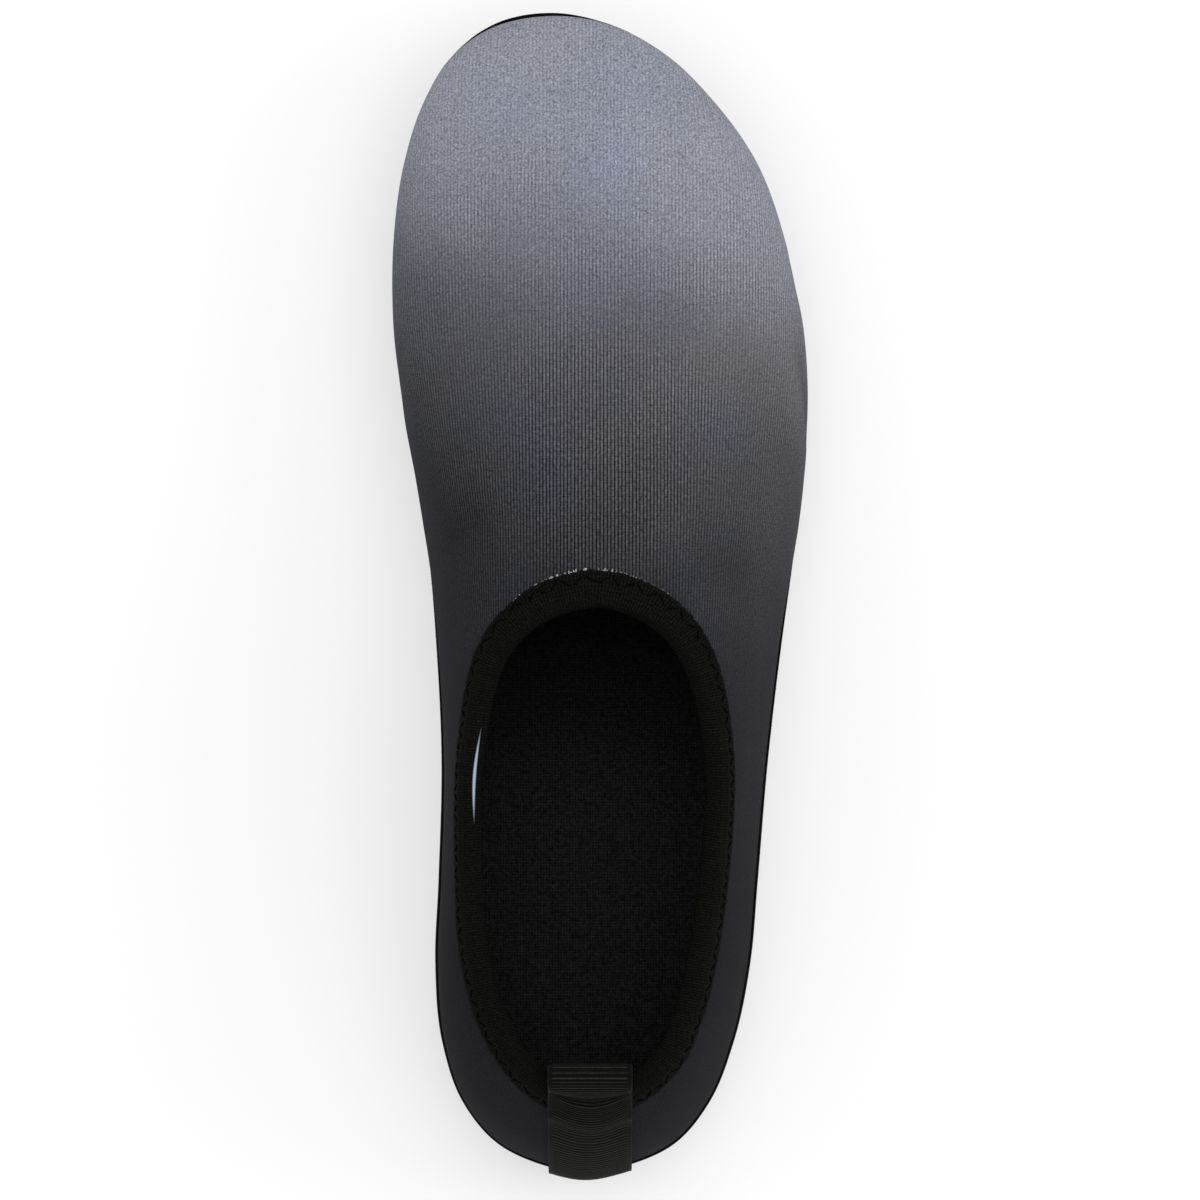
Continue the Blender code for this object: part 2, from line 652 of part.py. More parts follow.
def make_outsole(ribs, collection, cutters):
    """Rubber cup: floor, rand, notched border, rounded tread edge and ridged underside."""
    coarse, fine = ribs.measure(sole_columns()), ribs.measure(between(sole_columns()))
    rim, rand_top, _ = sole_heights(coarse)
    inner = rim - RAND_THICKNESS
    rings = [
        floor_ring(coarse, 0.0 * inner, PLATE_THICKNESS),
        floor_ring(coarse, FLOOR_RING * inner, PLATE_THICKNESS),
        floor_ring(coarse, inner - FLOOR_FILLET, PLATE_THICKNESS),
        ring_at(coarse, inner, rand_top),
    ]
    rim, rand_top, border = sole_heights(fine)
    notch = np.arange(len(rim)) % 2
    rings += [
        ring_at(fine, rim - into * RAND_HOLLOW, border + up * (rand_top - border))
        for into, up in RAND_PROFILE
    ]
    groove = rim - BORDER_GROOVE - notch * NOTCH_DEPTH
    lifted = border + notch * NOTCH_HEIGHT / 2
    rings += [
        ring_at(fine, rim - BORDER_EASE, lifted),
        ring_at(fine, groove, lifted - BORDER_EDGE),
        ring_at(fine, groove - BORDER_EASE, border - NOTCH_HEIGHT),
    ]
    rim, _, border = sole_heights(coarse)
    y = coarse["y"] + coarse["dy"] * (rim - TREAD_ROUNDING)
    low = underside(y)
    rings += [
        ring_at(coarse, rim - TREAD_SHOULDER, low + SHOULDER_HEIGHT * (border - low)),
        floor_ring(coarse, rim - TREAD_ROUNDING, 0.0),
    ]
    wave = 1 + RING_WAVE * np.sin(2 * np.pi * RING_WAVES * (y / SHOE_LENGTH + 0.5))
    rings += [
        floor_ring(coarse, out * rim * wave, depth * RIDGE_HEIGHT) for out, depth in TREAD_RINGS
    ]
    rings.append(floor_ring(coarse, 0.0 * rim, 0.0))
    points, faces = loft(rings)
    rubber = finish("outsole_rubber", (0.010, 0.010, 0.011), 0.6)
    outsole = add_object("outsole", points, faces, rubber, collection)
    for number, (station, turn) in enumerate(FLEX_CUTS):
        cutter = flex_cutter(f"flex_cutter_{number + 1}", station, turn, cutters)
        cut = outsole.modifiers.new(f"flex_cut_{number + 1}", "BOOLEAN")
        cut.operation = "DIFFERENCE"
        cut.solver = "EXACT"
        cut.object = cutter
    return outsole


def flex_cutter(name, station, turn, cutters):
    """Bar with one edge up, which cuts a V across the underside."""
    y = (station - 0.5) * SHOE_LENGTH
    mesh = bpy.data.meshes.new(name)
    shape = bmesh.new()
    bmesh.ops.create_cube(shape, size=1.0)
    bmesh.ops.scale(shape, verts=shape.verts, vec=(1.5 * SHOE_WIDTH, 1.0, 1.0))
    bmesh.ops.rotate(shape, verts=shape.verts, matrix=Matrix.Rotation(np.radians(45), 3, "X"))
    half = np.sqrt(0.5)
    bmesh.ops.scale(shape, verts=shape.verts,
                    vec=(1.0, FLEX_CUT_WIDTH / 2 / half, FLEX_CUT_DEPTH / half))
    shape.to_mesh(mesh)
    shape.free()
    cutter = bpy.data.objects.new(name, mesh)
    cutter.location = (0.0, y, float(underside(y)))
    cutter.rotation_euler = (0.0, 0.0, np.radians(turn))
    cutter.hide_render = True
    cutter.display_type = "WIRE"
    cutters.objects.link(cutter)
    return cutter


def make_seam_band(ribs, collection):
    """Felt ring between the upper's foot and the top of the rand."""
    rib = ribs.measure(sole_columns())
    rim, rand_top, _ = sole_heights(rib)
    radius = rib_radius(0.0, rib["rim"], rib["flare"], rib["reach"])
    outer = np.clip(radius + SEAM_BAND_PROUD, rim - SEAM_BAND_PROUD, rib["outline"])
    inner = radius - UPPER_WALL
    low, high = rand_top + CLEARANCE, rib["foot"] - CLEARANCE
    rings = [
        ring_at(rib, inner, low),
        ring_at(rib, outer - SEAM_BAND_ROUNDING, low),
        ring_at(rib, outer, (low + high) / 2),
        ring_at(rib, outer - SEAM_BAND_ROUNDING, high),
        ring_at(rib, inner, high),
    ]
    points, faces = loft([*rings, rings[0]])
    return add_object("seam_band", points, faces,
                      finish("seam_felt", (0.008, 0.008, 0.008), 0.95), collection)


def make_insole(ribs, collection):
    """Thin footbed that lies in the outsole's cup."""
    rib = ribs.measure(sole_columns()[::2])
    rim, _, _ = sole_heights(rib)
    edge = rim - RAND_THICKNESS - FLOOR_FILLET - CLEARANCE
    low = PLATE_THICKNESS + CLEARANCE
    high = low + INSOLE_THICKNESS
    rings = [
        floor_ring(rib, 0.0 * edge, low),
        floor_ring(rib, FLOOR_RING * edge, low),
        floor_ring(rib, edge, low),
        floor_ring(rib, edge, high - INSOLE_EDGE),
        floor_ring(rib, edge - INSOLE_EDGE, high),
        floor_ring(rib, FLOOR_RING * edge, high),
        floor_ring(rib, 0.0 * edge, high),
    ]
    points, faces = loft(rings)
    return add_object("insole", points, faces,
                      finish("insole_cloth", (0.012, 0.012, 0.013), 0.95), collection)


def heel_point(ribs, x, u, distance):
    """Points at each x across, off the heel's surface at share u up its ribs."""
    q = np.full(np.shape(x), 3.0)
    for _ in range(12):
        rib = ribs.at(q)
        radius = rib_radius(u, rib["rim"], rib["flare"], rib["reach"])
        across = x - ribs.normal(q, u)[..., 0] * distance - rib["x"]
        q = 2 + np.degrees(np.arccos(across / radius)) / 90
    return ribs.offset(q, u, np.broadcast_to(distance, np.shape(x)))


def collar_behind(ribs, x):
    """Points of the collar's back edge at each x, and the directions out from there."""
    back = ribs.collar[ribs.collar[:, 1] < (HEEL_POLE - 0.5) * SHOE_LENGTH]
    order = np.argsort(back[:, 0])
    y = np.interp(x, back[order, 0], back[order, 1])
    ahead = np.interp(x + NEAR, back[order, 0], back[order, 1])
    outward = np.column_stack([(ahead - y), -np.full(len(x), NEAR)])
    return np.column_stack([x, y]), outward / np.linalg.norm(outward, axis=1, keepdims=True)


def make_heel_pull(ribs, collection):
    """Webbing from the seam up the heel's back, a loop over the collar, and down inside."""
    x = PULL_CENTRE + PULL_WIDTH * np.linspace(-0.5, 0.5, 5)
    half = PULL_THICKNESS / 2
    on_upper = 1.5 * CLEARANCE + half
    over_tape = 2 * CLEARANCE + BINDING_THICKNESS + half
    inside = -(UPPER_WALL + 3 * CLEARANCE + BINDING_THICKNESS + half)
    edge, outward = collar_behind(ribs, x)
    q, end = ribs.locate(edge)
    _, tape = ribs.below_collar(edge, outward, BINDING_WIDTH)
    _, down = ribs.below_collar(edge, outward, PULL_INNER_LENGTH)
    back = [heel_point(ribs, x, share * tape, on_upper) for share in PULL_ON_UPPER]
    back += [
        heel_point(ribs, x, tape + share * (end - tape), over_tape) for share in PULL_OVER_TAPE
    ]
    within = [heel_point(ribs, x, end + share * (down - end), inside) for share in PULL_WITHIN]
    up = ribs.place(q, end + SHARE_STEP) - ribs.place(q, end - SHARE_STEP)
    up = up / np.linalg.norm(up, axis=1, keepdims=True) * PULL_THICKNESS
    middle = ribs.offset(q, end, np.full(len(x), (over_tape + inside) / 2))
    rows = [back[-1] + up, within[0] + up]
    lean = np.radians(LOOP_LEAN)
    axis, face = np.array([(0, np.sin(lean), np.cos(lean)), (0, -np.cos(lean), np.sin(lean))])
    flat = np.broadcast_to(middle[len(x) // 2], middle.shape)

    def layer(rise, opening, side):
        """The loop straightens as it rises, from the collar's curve to flat across."""
        base = middle + (flat - middle) * min(rise / LOOP_FLATTENS, 1.0)
        return base + axis * rise * LOOP_HEIGHT + face * side * opening * LOOP_HALF_GAP

    outer = [layer(rise, opening, 1) for rise, opening in LOOP]
    inner = [layer(rise, opening, -1) for rise, opening in LOOP[::-1]]
    path = np.array([*back, rows[0], *outer, layer(1.0, 0.0, 1), *inner, rows[1], *within])
    path[..., 0] = x
    return add_webbing("heel_pull", path, collection)


def add_webbing(name, path, collection):
    """Solid strip of webbing whose middle surface is a path for each place across."""
    along = np.gradient(path, axis=0)
    side = np.stack([np.zeros_like(along[..., 0]), along[..., 2], -along[..., 1]], -1)
    side *= PULL_THICKNESS / 2 / np.linalg.norm(side, axis=-1, keepdims=True)
    out, back = path + side, path - side
    rings = []
    for k in range(len(path)):
        rings.append(np.vstack([out[k], back[k][::-1]]))
    points, faces = loft(rings)
    count = len(rings[0])
    last = len(points) - count
    across = len(path[0])
    for k in range(across - 1):
        faces.append((k, k + 1, count - 2 - k, count - 1 - k))
        faces.append((last + k + 1, last + k, last + count - 1 - k, last + count - 2 - k))
    return add_object(name, points, faces, finish("webbing", (0.010, 0.010, 0.010), 0.85),
                      collection)


def clear_scene():
    for item in list(bpy.data.objects):
        bpy.data.objects.remove(item, do_unlink=True)


def main():
    clear_scene()
    shoe = bpy.data.collections.new("water_shoe")
    cutters = bpy.data.collections.new("cutters")
    bpy.context.scene.collection.children.link(shoe)
    bpy.context.scene.collection.children.link(cutters)
    ribs = Ribs()
    make_upper(ribs, shoe)
    make_binding(ribs, shoe)
    make_heel_pull(ribs, shoe)
    make_seam_band(ribs, shoe)
    make_outsole(ribs, shoe, cutters)
    make_insole(ribs, shoe)


main()
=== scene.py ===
"""Looks of a slip-on water shoe for the right foot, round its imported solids.

Every piece is a surface worked out from the shoe's last. The last is a set of ribs, each a
cubic curve in an upright plane from the seam up to a spine, and short tables give them.
Metres, +Z up, +Y to the toe, +X to the wearer's right, which is the outer side.
"""

from functools import cache

import bpy
import numpy as np
from bpy.props import FloatProperty, FloatVectorProperty, PointerProperty
from bpy.types import Operator, Panel, PropertyGroup
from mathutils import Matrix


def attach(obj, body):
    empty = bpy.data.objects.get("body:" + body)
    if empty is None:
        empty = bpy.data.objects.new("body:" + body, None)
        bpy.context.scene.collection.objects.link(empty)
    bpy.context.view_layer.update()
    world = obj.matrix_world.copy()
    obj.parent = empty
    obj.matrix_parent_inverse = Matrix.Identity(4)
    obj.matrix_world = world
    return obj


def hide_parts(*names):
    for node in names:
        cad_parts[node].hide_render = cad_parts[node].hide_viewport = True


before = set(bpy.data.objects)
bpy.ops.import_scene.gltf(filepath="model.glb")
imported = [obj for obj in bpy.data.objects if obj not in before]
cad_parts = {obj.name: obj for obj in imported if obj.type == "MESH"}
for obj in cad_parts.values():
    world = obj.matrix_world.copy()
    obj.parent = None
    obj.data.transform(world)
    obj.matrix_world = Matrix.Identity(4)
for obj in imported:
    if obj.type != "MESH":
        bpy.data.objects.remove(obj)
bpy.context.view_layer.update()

bl_info = {
    "name": "Water shoe",
    "version": (1, 0, 0),
    "blender": (4, 5, 0),
    "location": "3D View > Sidebar > Water shoe",
    "description": "Dresses a knit slip-on water shoe round its packed solids",
    "category": "Object",
}

# Sizes that the solids have too
SHOE_LENGTH = 0.260
SHOE_WIDTH = 0.0932
INSTEP_HEIGHT = 0.0730
TOE_SPRING = 0.0215
TOE_CURL = 1.95
ARCH_LIFT = 0.0019
HEEL_LIFT = 0.0032
HEEL_CURL = 1.5
TOE_BREAK = 0.668
ARCH_FRONT = 0.570
ARCH_BACK = 0.223
HEEL_BREAK = 0.096
UPPER_WALL = 0.0022
BINDING_WIDTH = 0.0070
BINDING_THICKNESS = 0.0008
BINDING_INNER_WIDTH = 0.0055
THROAT_LENGTH = 0.1
SEAM_BAND_HEIGHT = 0.0012
SEAM_BAND_PROUD = 0.0003
PULL_WIDTH = 0.0186
PULL_THICKNESS = 0.0013
PULL_CENTRE = -0.0022
LOOP_HEIGHT = 0.0168
LOOP_LEAN = 21.0
LOOP_HALF_GAP = 0.0024
LOOP_FLATTENS = 0.7
PULL_INNER_LENGTH = 0.0090
SIDEWALL_HEIGHT = 0.0145
EDGE_STEP = 0.0006
RAND_THICKNESS = 0.0027
RAND_HOLLOW = 0.0005
PLATE_THICKNESS = 0.0040
FLOOR_FILLET = 0.0010
TREAD_ROUNDING = 0.0065
TREAD_SHOULDER = 0.0030
SHOULDER_HEIGHT = 0.28
FLEX_CUT_DEPTH = 0.0020
FLEX_CUT_WIDTH = 0.0030
INSOLE_THICKNESS = 0.0030
INSOLE_EDGE = 0.0006
CLEARANCE = 0.0003
TOE_POLE = 0.8385
HEEL_POLE = 0.173
TOE_POLE_Y = (TOE_POLE - 0.5) * SHOE_LENGTH
HEEL_POLE_Y = (HEEL_POLE - 0.5) * SHOE_LENGTH

# Sizes of the looks alone
TREAD_PITCH = 0.0014
TREAD_PITCH_WITHIN = 0.0034
TREAD_EDGE = 0.0120
TREAD_DEPTH = 0.0009
BORDER_STEP = 0.0004
MEETING_REACH = 0.018
MEETING_ROUNDING = 0.004
CUT_START = 0.0032
CUT_RUNOUT = 0.0035
TOP_EASE = 0.0002
PAD_HEIGHT = 0.0013
PAD_HALF = 0.0033
WEBBING_SELVEDGE = 0.0008
WEBBING_SEWN = 0.055
WEBBING_STRETCH = ((0.030, 0.052, 0.060), (1.32, 1.1, 0.66))
SEWN_PRESS = 0.00075
FOOT_PRESS = 0.00040
PULL_FOOT = 0.014
PULL_END = 0.0005
THREAD = 0.00019
STITCHED = (0.0016, 0.0535)
STITCH_INSET = 0.0017
STITCH_LIFT = 0.00020
STITCH_ARCH = 0.00016
TAPE_THROAT_WIDTH = 0.0076
TAPE_FOLD = 0.0011
TAPE_JOINT = -0.0019
ZIGZAG_LOW = 0.52
ZIGZAG_HIGH = 0.87
LOOP_SPACING = 0.45
LOOP_THREAD = 0.00016
LOOP_JITTER = 0.00018
LOOP_TILT = 0.00022
LOOP_SHORT = 0.0004
LOOP_LONG = 0.0011
LOOP_FOOT = 0.00022
LOOP_RISE = 0.00040
THROAT_LOOPS = 0.034
FOLD_UNIT = 0.0005
KNIT_INSET = 0.0005
EDGE_CALM = 0.014
CLOTH_WAVE = 0.00012
KNIT_MEAN = 0.58
FADE_SHIFT = 0.008
THROAT = (-0.004, 0.026, 0.070)
# Place and size of the painted highlight on the tape's inner fold
SLIVER_MIDDLE = -0.0387
SLIVER_HALF_LENGTH = 0.0111
SLIVER_HALF_WIDTH = 0.070
FELT_BULGE = 0.0003
FELT_WAVE = 0.00012
FUZZ_THICKNESS = 0.00004
HEEL_DIP = 0.0007
BALL_DIP = 0.0005
FLOOR_SIZE = 3.0
FLOOR_GAP = 0.0002

# Counts of the surfaces' grids
TOE_COLUMNS = 84
VAMP_COLUMNS = 40
COLLAR_COLUMNS = 96
HEEL_COLUMNS = 52
KNIT_ROWS = 62
TAPE_COLUMNS = 620
WEBBING_ROWS = 1400
STITCH_ROWS = 2400
FUZZ_COUNT = 5200
STITCH_STEPS = 7
NOTCHES = 47
NOTCH_COLUMNS = (0.0, 0.17, 0.32, 0.42, 0.50, 0.58, 0.68, 0.83)
FRONT_CROWDING = 1.3
THROAT_LEAN = 0.22
COLUMN_LEAN = 1.6

# Steps of the numerical searches
NEAR = 0.001
LOWEST_END = 0.3
SEARCH_REACH = 0.016

# Plan outline: station from the heel as a share of the length, then the inner (medial)
# and outer (lateral) edges as shares of half the width.
OUTLINE = np.array([
    # station, medial, lateral
    (0.010, -0.240, 0.101),
    (0.032, -0.504, 0.371),
    (0.067, -0.663, 0.530),
    (0.118, -0.760, 0.644),
    (0.187, -0.794, 0.725),
    (0.256, -0.779, 0.760),
    (0.360, -0.764, 0.809),
    (0.463, -0.790, 0.876),
    (0.532, -0.822, 0.929),
    (0.601, -0.880, 0.976),
    (0.670, -0.953, 1.000),
    (0.739, -0.996, 0.976),
    (0.808, -0.992, 0.891),
    (0.877, -0.933, 0.745),
    (0.928, -0.837, 0.539),
    (0.963, -0.721, 0.341),
    (0.989, -0.534, 0.092),
])
TOE_TIP = (1.000, -0.240)
HEEL_TIP = (0.0043, -0.073)

# Sides by station: seam line and rand's border as shares of the sidewall height, which of
# upper (1) and outsole (0) stands out, the flare of the upper's foot, and the rise and
# reach of the ribs' handles on the inner and the outer side.
SIDES = np.array([
    # station, seam, border, stands_out, flare, rise_in, reach_in, rise_out, reach_out
    (0.000, 0.560, 0.150, 0.0, 0.00, 0.38, 0.50, 0.38, 0.50),
    (0.040, 0.720, 0.300, 0.0, 0.01, 0.40, 0.52, 0.40, 0.52),
    (0.100, 0.810, 0.390, 0.0, 0.02, 0.56, 0.60, 0.50, 0.52),
    (0.200, 0.820, 0.440, 0.0, 0.02, 0.70, 0.72, 0.54, 0.54),
    (0.300, 0.720, 0.380, 0.0, 0.02, 0.74, 0.76, 0.56, 0.55),
    (0.400, 0.630, 0.300, 0.1, 0.03, 0.70, 0.74, 0.56, 0.56),
    (0.480, 0.660, 0.310, 0.2, 0.05, 0.62, 0.68, 0.55, 0.60),
    (0.560, 0.720, 0.350, 0.5, 0.08, 0.58, 0.62, 0.54, 0.58),
    (0.640, 0.860, 0.430, 0.9, 0.12, 0.60, 0.60, 0.56, 0.56),
    (0.720, 0.950, 0.500, 1.0, 0.15, 0.68, 0.62, 0.64, 0.58),
    (0.800, 1.000, 0.550, 1.0, 0.15, 0.78, 0.66, 0.74, 0.64),
    (0.880, 1.000, 0.540, 1.0, 0.13, 0.88, 0.72, 0.86, 0.70),
    (0.950, 0.950, 0.500, 0.9, 0.09, 0.93, 0.75, 0.93, 0.75),
    (1.000, 0.750, 0.350, 0.5, 0.05, 0.95, 0.76, 0.95, 0.76),
])

# Crest of the vamp above the underside, as a share of the instep height
CREST = np.array([
    # station, height
    (0.496, 1.000),
    (0.532, 0.951),
    (0.601, 0.864),
    (0.670, 0.783),
    (0.739, 0.694),
    (0.808, 0.608),
    (0.877, 0.500),
])

# Middle line that the ribs run out from, as a share of half the width
SPINE = np.array([
    # station, across
    (0.173, -0.043),
    (0.270, -0.017),
    (0.360, -0.004),
    (0.430, -0.013),
    (0.496, -0.019),
    (0.580, -0.006),
    (0.670, 0.000),
    (0.750, -0.032),
    (0.8385, -0.069),
])

# Top edge of the collar in plan, and its height above the underside as a share of the
# instep height.
COLLAR = np.array([
    # station, medial, lateral, height
    (0.094, -0.285, 0.195, 0.936),
    (0.118, -0.400, 0.326, 0.908),
    (0.148, -0.482, 0.395, 0.880),
    (0.178, -0.540, 0.444, 0.858),
    (0.223, -0.590, 0.493, 0.841),
    (0.260, -0.607, 0.522, 0.838),
    (0.301, -0.616, 0.545, 0.844),
    (0.354, -0.614, 0.551, 0.873),
    (0.392, -0.582, 0.523, 0.900),
    (0.421, -0.545, 0.483, 0.925),
    (0.446, -0.494, 0.424, 0.949),
    (0.468, -0.405, 0.335, 0.973),
    (0.484, -0.290, 0.220, 0.990),
])
COLLAR_FRONT = (0.4965, -0.019, 1.000)
COLLAR_BACK = (0.0755, -0.045, 0.948)

# Loop of the heel pull: share of its height and of its half gap
LOOP = np.array([
    # up, open
    (0.26, 0.66),
    (0.42, 0.84),
    (0.60, 1.00),
    (0.78, 0.96),
    (0.91, 0.68),
    (0.98, 0.30),
])
PULL_ON_UPPER = (0.0, 0.25, 0.5, 0.75, 0.9)
PULL_OVER_TAPE = (0.0, 0.5, 1.0)
PULL_WITHIN = (0.0, 0.5, 1.0)

# Flex cuts across the tread: station and turn in degrees
FLEX_CUTS = [
    # station, turn
    (0.864, 18.0),
    (0.192, -12.0),
]

# Soft folds of the knit in its own flat sizes: from and to, as metres across from the
# crest line (outer side positive) and along the shoe, half width and rise (troughs under 0).
FOLDS = np.array([
    # across, along, to_across, to_along, half_width, rise
    (0.050, 0.061, 0.070, 0.034, 0.0034, -0.00038),
    (0.048, 0.053, 0.067, 0.027, 0.0046, 0.00024),
    (0.052, 0.078, 0.066, 0.066, 0.0040, -0.00025),
    (-0.048, 0.060, -0.066, 0.040, 0.0040, -0.00030),
    (0.020, 0.016, 0.044, 0.006, 0.0060, -0.00030),
    (-0.022, 0.018, -0.046, 0.010, 0.0060, -0.00035),
    (0.060, -0.060, 0.074, -0.090, 0.0050, -0.00030),
    (-0.060, -0.050, -0.072, -0.085, 0.0050, -0.00030),
    (0.050, -0.098, 0.078, -0.104, 0.0040, 0.00036),
    (-0.052, -0.100, -0.078, -0.104, 0.0040, -0.00036),
    (0.011, 0.009, 0.024, -0.003, 0.0030, -0.00022),
])

# Fade of the knit from heel to toe: place along the shoe and share of the toe's colour
FADE = [
    # along, share
    (-0.130, 0.000),
    (-0.060, 0.008),
    (-0.030, 0.022),
    (-0.010, 0.045),
    (0.006, 0.078),
    (0.020, 0.135),
    (0.036, 0.205),
    (0.050, 0.280),
    (0.062, 0.365),
    (0.073, 0.530),
    (0.083, 0.735),
    (0.094, 0.925),
    (0.106, 0.985),
    (0.120, 1.010),
    (0.130, 1.090),
]

# Painted shade and painted light of the inner side: place along the shoe and how light it is
# there
INNER_SHADE = [
    # along, share
    (0.030, 0.66),
    (0.050, 0.80),
    (0.065, 1.04),
    (0.078, 1.22),
    (0.086, 1.26),
    (0.096, 1.12),
    (0.110, 1.06),
]

# Painted shading of the rubber by how deep it lies: the tread's ridges are light, its grooves
# dark
RUBBER_SHADE = [
    # depth, share
    (-0.5, 3.6),
    (-0.23, 2.6),
    (-0.0005, 1.0),
    (0.325, 0.35),
    (0.625, 0.06),
]

# Knots that the tread's grooves flow round: place under the sole and size
KNOTS = np.array([
    # x, y, size
    (-0.012, 0.104, 0.011),
    (0.017, 0.074, 0.013),
    (-0.020, 0.062, 0.012),
    (0.012, 0.028, 0.015),
    (-0.014, 0.006, 0.013),
    (0.009, -0.030, 0.015),
    (-0.010, -0.058, 0.012),
    (0.006, -0.092, 0.011),
    (-0.010, -0.112, 0.009),
])


# --- The last


def smooth(at, stations, values):
    """Value at each place on the smooth curve through a table's values: a cubic between
    neighbours, with the slopes of the values' own differences."""
    slopes = np.gradient(values, stations, axis=0)
    row = np.clip(np.searchsorted(stations, at, side="right") - 1, 0, len(stations) - 2)
    span = stations[row + 1] - stations[row]
    fit = (..., *[None] * (values.ndim - 1))
    t, span = unit((at - stations[row]) / span)[fit], span[fit]
    start = (1 + 2 * t) * (1 - t) ** 2 * values[row] + t * (1 - t) ** 2 * span * slopes[row]
    end = t * t * (3 - 2 * t) * values[row + 1] - t * t * (1 - t) * span * slopes[row + 1]
    return start + end


def station_of(y):
    """Station of each y: its share of the way from the heel to the toe."""
    return np.asarray(y) / SHOE_LENGTH + 0.5


def column(table, index, y):
    """A table's column at each y along the shoe."""
    return smooth(station_of(y), table[:, 0], table[:, index])


def plan_point(station, across):
    return (across * SHOE_WIDTH / 2, (station - 0.5) * SHOE_LENGTH)


def walk_of(points):
    """Length walked along a path of points, from 0 at its start."""
    steps = np.linalg.norm(np.diff(points, axis=0), axis=-1)
    return np.concatenate([np.zeros((1, *steps.shape[1:])), steps.cumsum(0)])


def bell(away):
    """Smooth hump: 1 at 0, and next to nothing from 2 on."""
    return np.exp(-(away**2))


def unit(value):
    """Value held between 0 and 1."""
    return np.clip(value, 0, 1)


def closed_curve(points, count=1500):
    """Smooth closed curve through points of the plan, spaced by their chords."""
    points = np.array(points)
    wrapped = np.vstack([points[-3:], points, points[:4]])
    chord = walk_of(wrapped)
    at = np.linspace(chord[3], chord[3 + len(points)], count, endpoint=False)
    return smooth(at, chord, wrapped)


def loop_of(table, front, back):
    """Plan curve from the front point down the outer side and back up the inner side."""
    outer = [plan_point(row[0], row[2]) for row in table[::-1]]
    inner = [plan_point(row[0], row[1]) for row in table]
    return closed_curve([plan_point(*front), *outer, plan_point(*back), *inner])


def underside(y):
    """Height of the sole's underside: toe spring, arch and a little lift at the heel."""
    station = station_of(y)
    toe = np.clip((station - TOE_BREAK) / (1 - TOE_BREAK), 0, None) ** TOE_CURL
    span = unit((station - ARCH_BACK) / (ARCH_FRONT - ARCH_BACK))
    arch = np.sin(np.pi * span) ** 2
    heel = np.clip(1 - station / HEEL_BREAK, 0, None) ** HEEL_CURL
    return TOE_SPRING * toe + ARCH_LIFT * arch + HEEL_LIFT * heel


def rib_base(q):
    """Spine point and outward direction of each rib. q runs clockwise seen from above: 0
    at the toe tip, 1 to 2 down the outer side, 3 at the heel, 4 to 5 up the inner side."""
    poles = [TOE_POLE_Y, TOE_POLE_Y, HEEL_POLE_Y, HEEL_POLE_Y, TOE_POLE_Y, TOE_POLE_Y]
    y = np.interp(q, [0, 1, 2, 4, 5, 6], poles)
    angle = np.radians(np.interp(q, range(7), [90, 0, 0, -90, -180, -180, -270]))
    x = column(SPINE, 1, y) * SHOE_WIDTH / 2
    return np.stack([x, y], -1), np.stack([np.cos(angle), np.sin(angle)], -1)


def crossing(loop, origin, direction):
    """Distance from each origin along its direction to the loop, or 0 where it misses."""
    found = []
    for part in np.array_split(np.arange(len(origin)), max(1, len(origin) // 600)):
        away = loop[None] - origin[part, None]
        way = direction[part, None]
        side = way[..., 0] * away[..., 1] - way[..., 1] * away[..., 0]
        ahead = (away * way).sum(-1)
        next_side, next_ahead = np.roll(side, -1, 1), np.roll(ahead, -1, 1)
        span = np.where(side == next_side, 1.0, side - next_side)
        distance = ahead + side / span * (next_ahead - ahead)
        met = (side * next_side <= 0) & (side != next_side) & (distance > 0)
        found.append(np.where(met, distance, 0.0).max(axis=1))
    return np.concatenate(found)


def bernstein(u):
    return (1 - u) ** 3, 3 * u * (1 - u) ** 2, 3 * u * u * (1 - u), u**3


def widest_of(flare, reach):
    """Largest radius that a rib reaches near its foot, as a share of its handle's."""
    c0, c1, c2, _ = bernstein(np.linspace(0, 0.4, 81))
    return (c0 + (1 + flare[..., None]) * c1 + reach[..., None] * c2).max(-1)


def collar_height(y):
    """Height of the collar's top edge along the shoe."""
    stations = np.concatenate([[COLLAR_BACK[0]], COLLAR[:, 0], [COLLAR_FRONT[0]]])
    shares = np.concatenate([[COLLAR_BACK[2]], COLLAR[:, 3], [COLLAR_FRONT[2]]])
    share = smooth(station_of(y), stations, shares)
    return underside(y) + INSTEP_HEIGHT * share


def rib_of(plan):
    """Rib q that passes over each point of the plan between the two poles or behind."""
    x, y = plan[..., 0], plan[..., 1]
    side = (TOE_POLE_Y - y) / (TOE_POLE_Y - HEEL_POLE_Y)
    outer = x >= column(SPINE, 1, y) * SHOE_WIDTH / 2
    angle = np.degrees(np.arctan2(HEEL_POLE_Y - y, x - SPINE[0, 1] * SHOE_WIDTH / 2))
    return np.where(y >= HEEL_POLE_Y, np.where(outer, 1 + side, 5 - side), 2 + angle / 90)


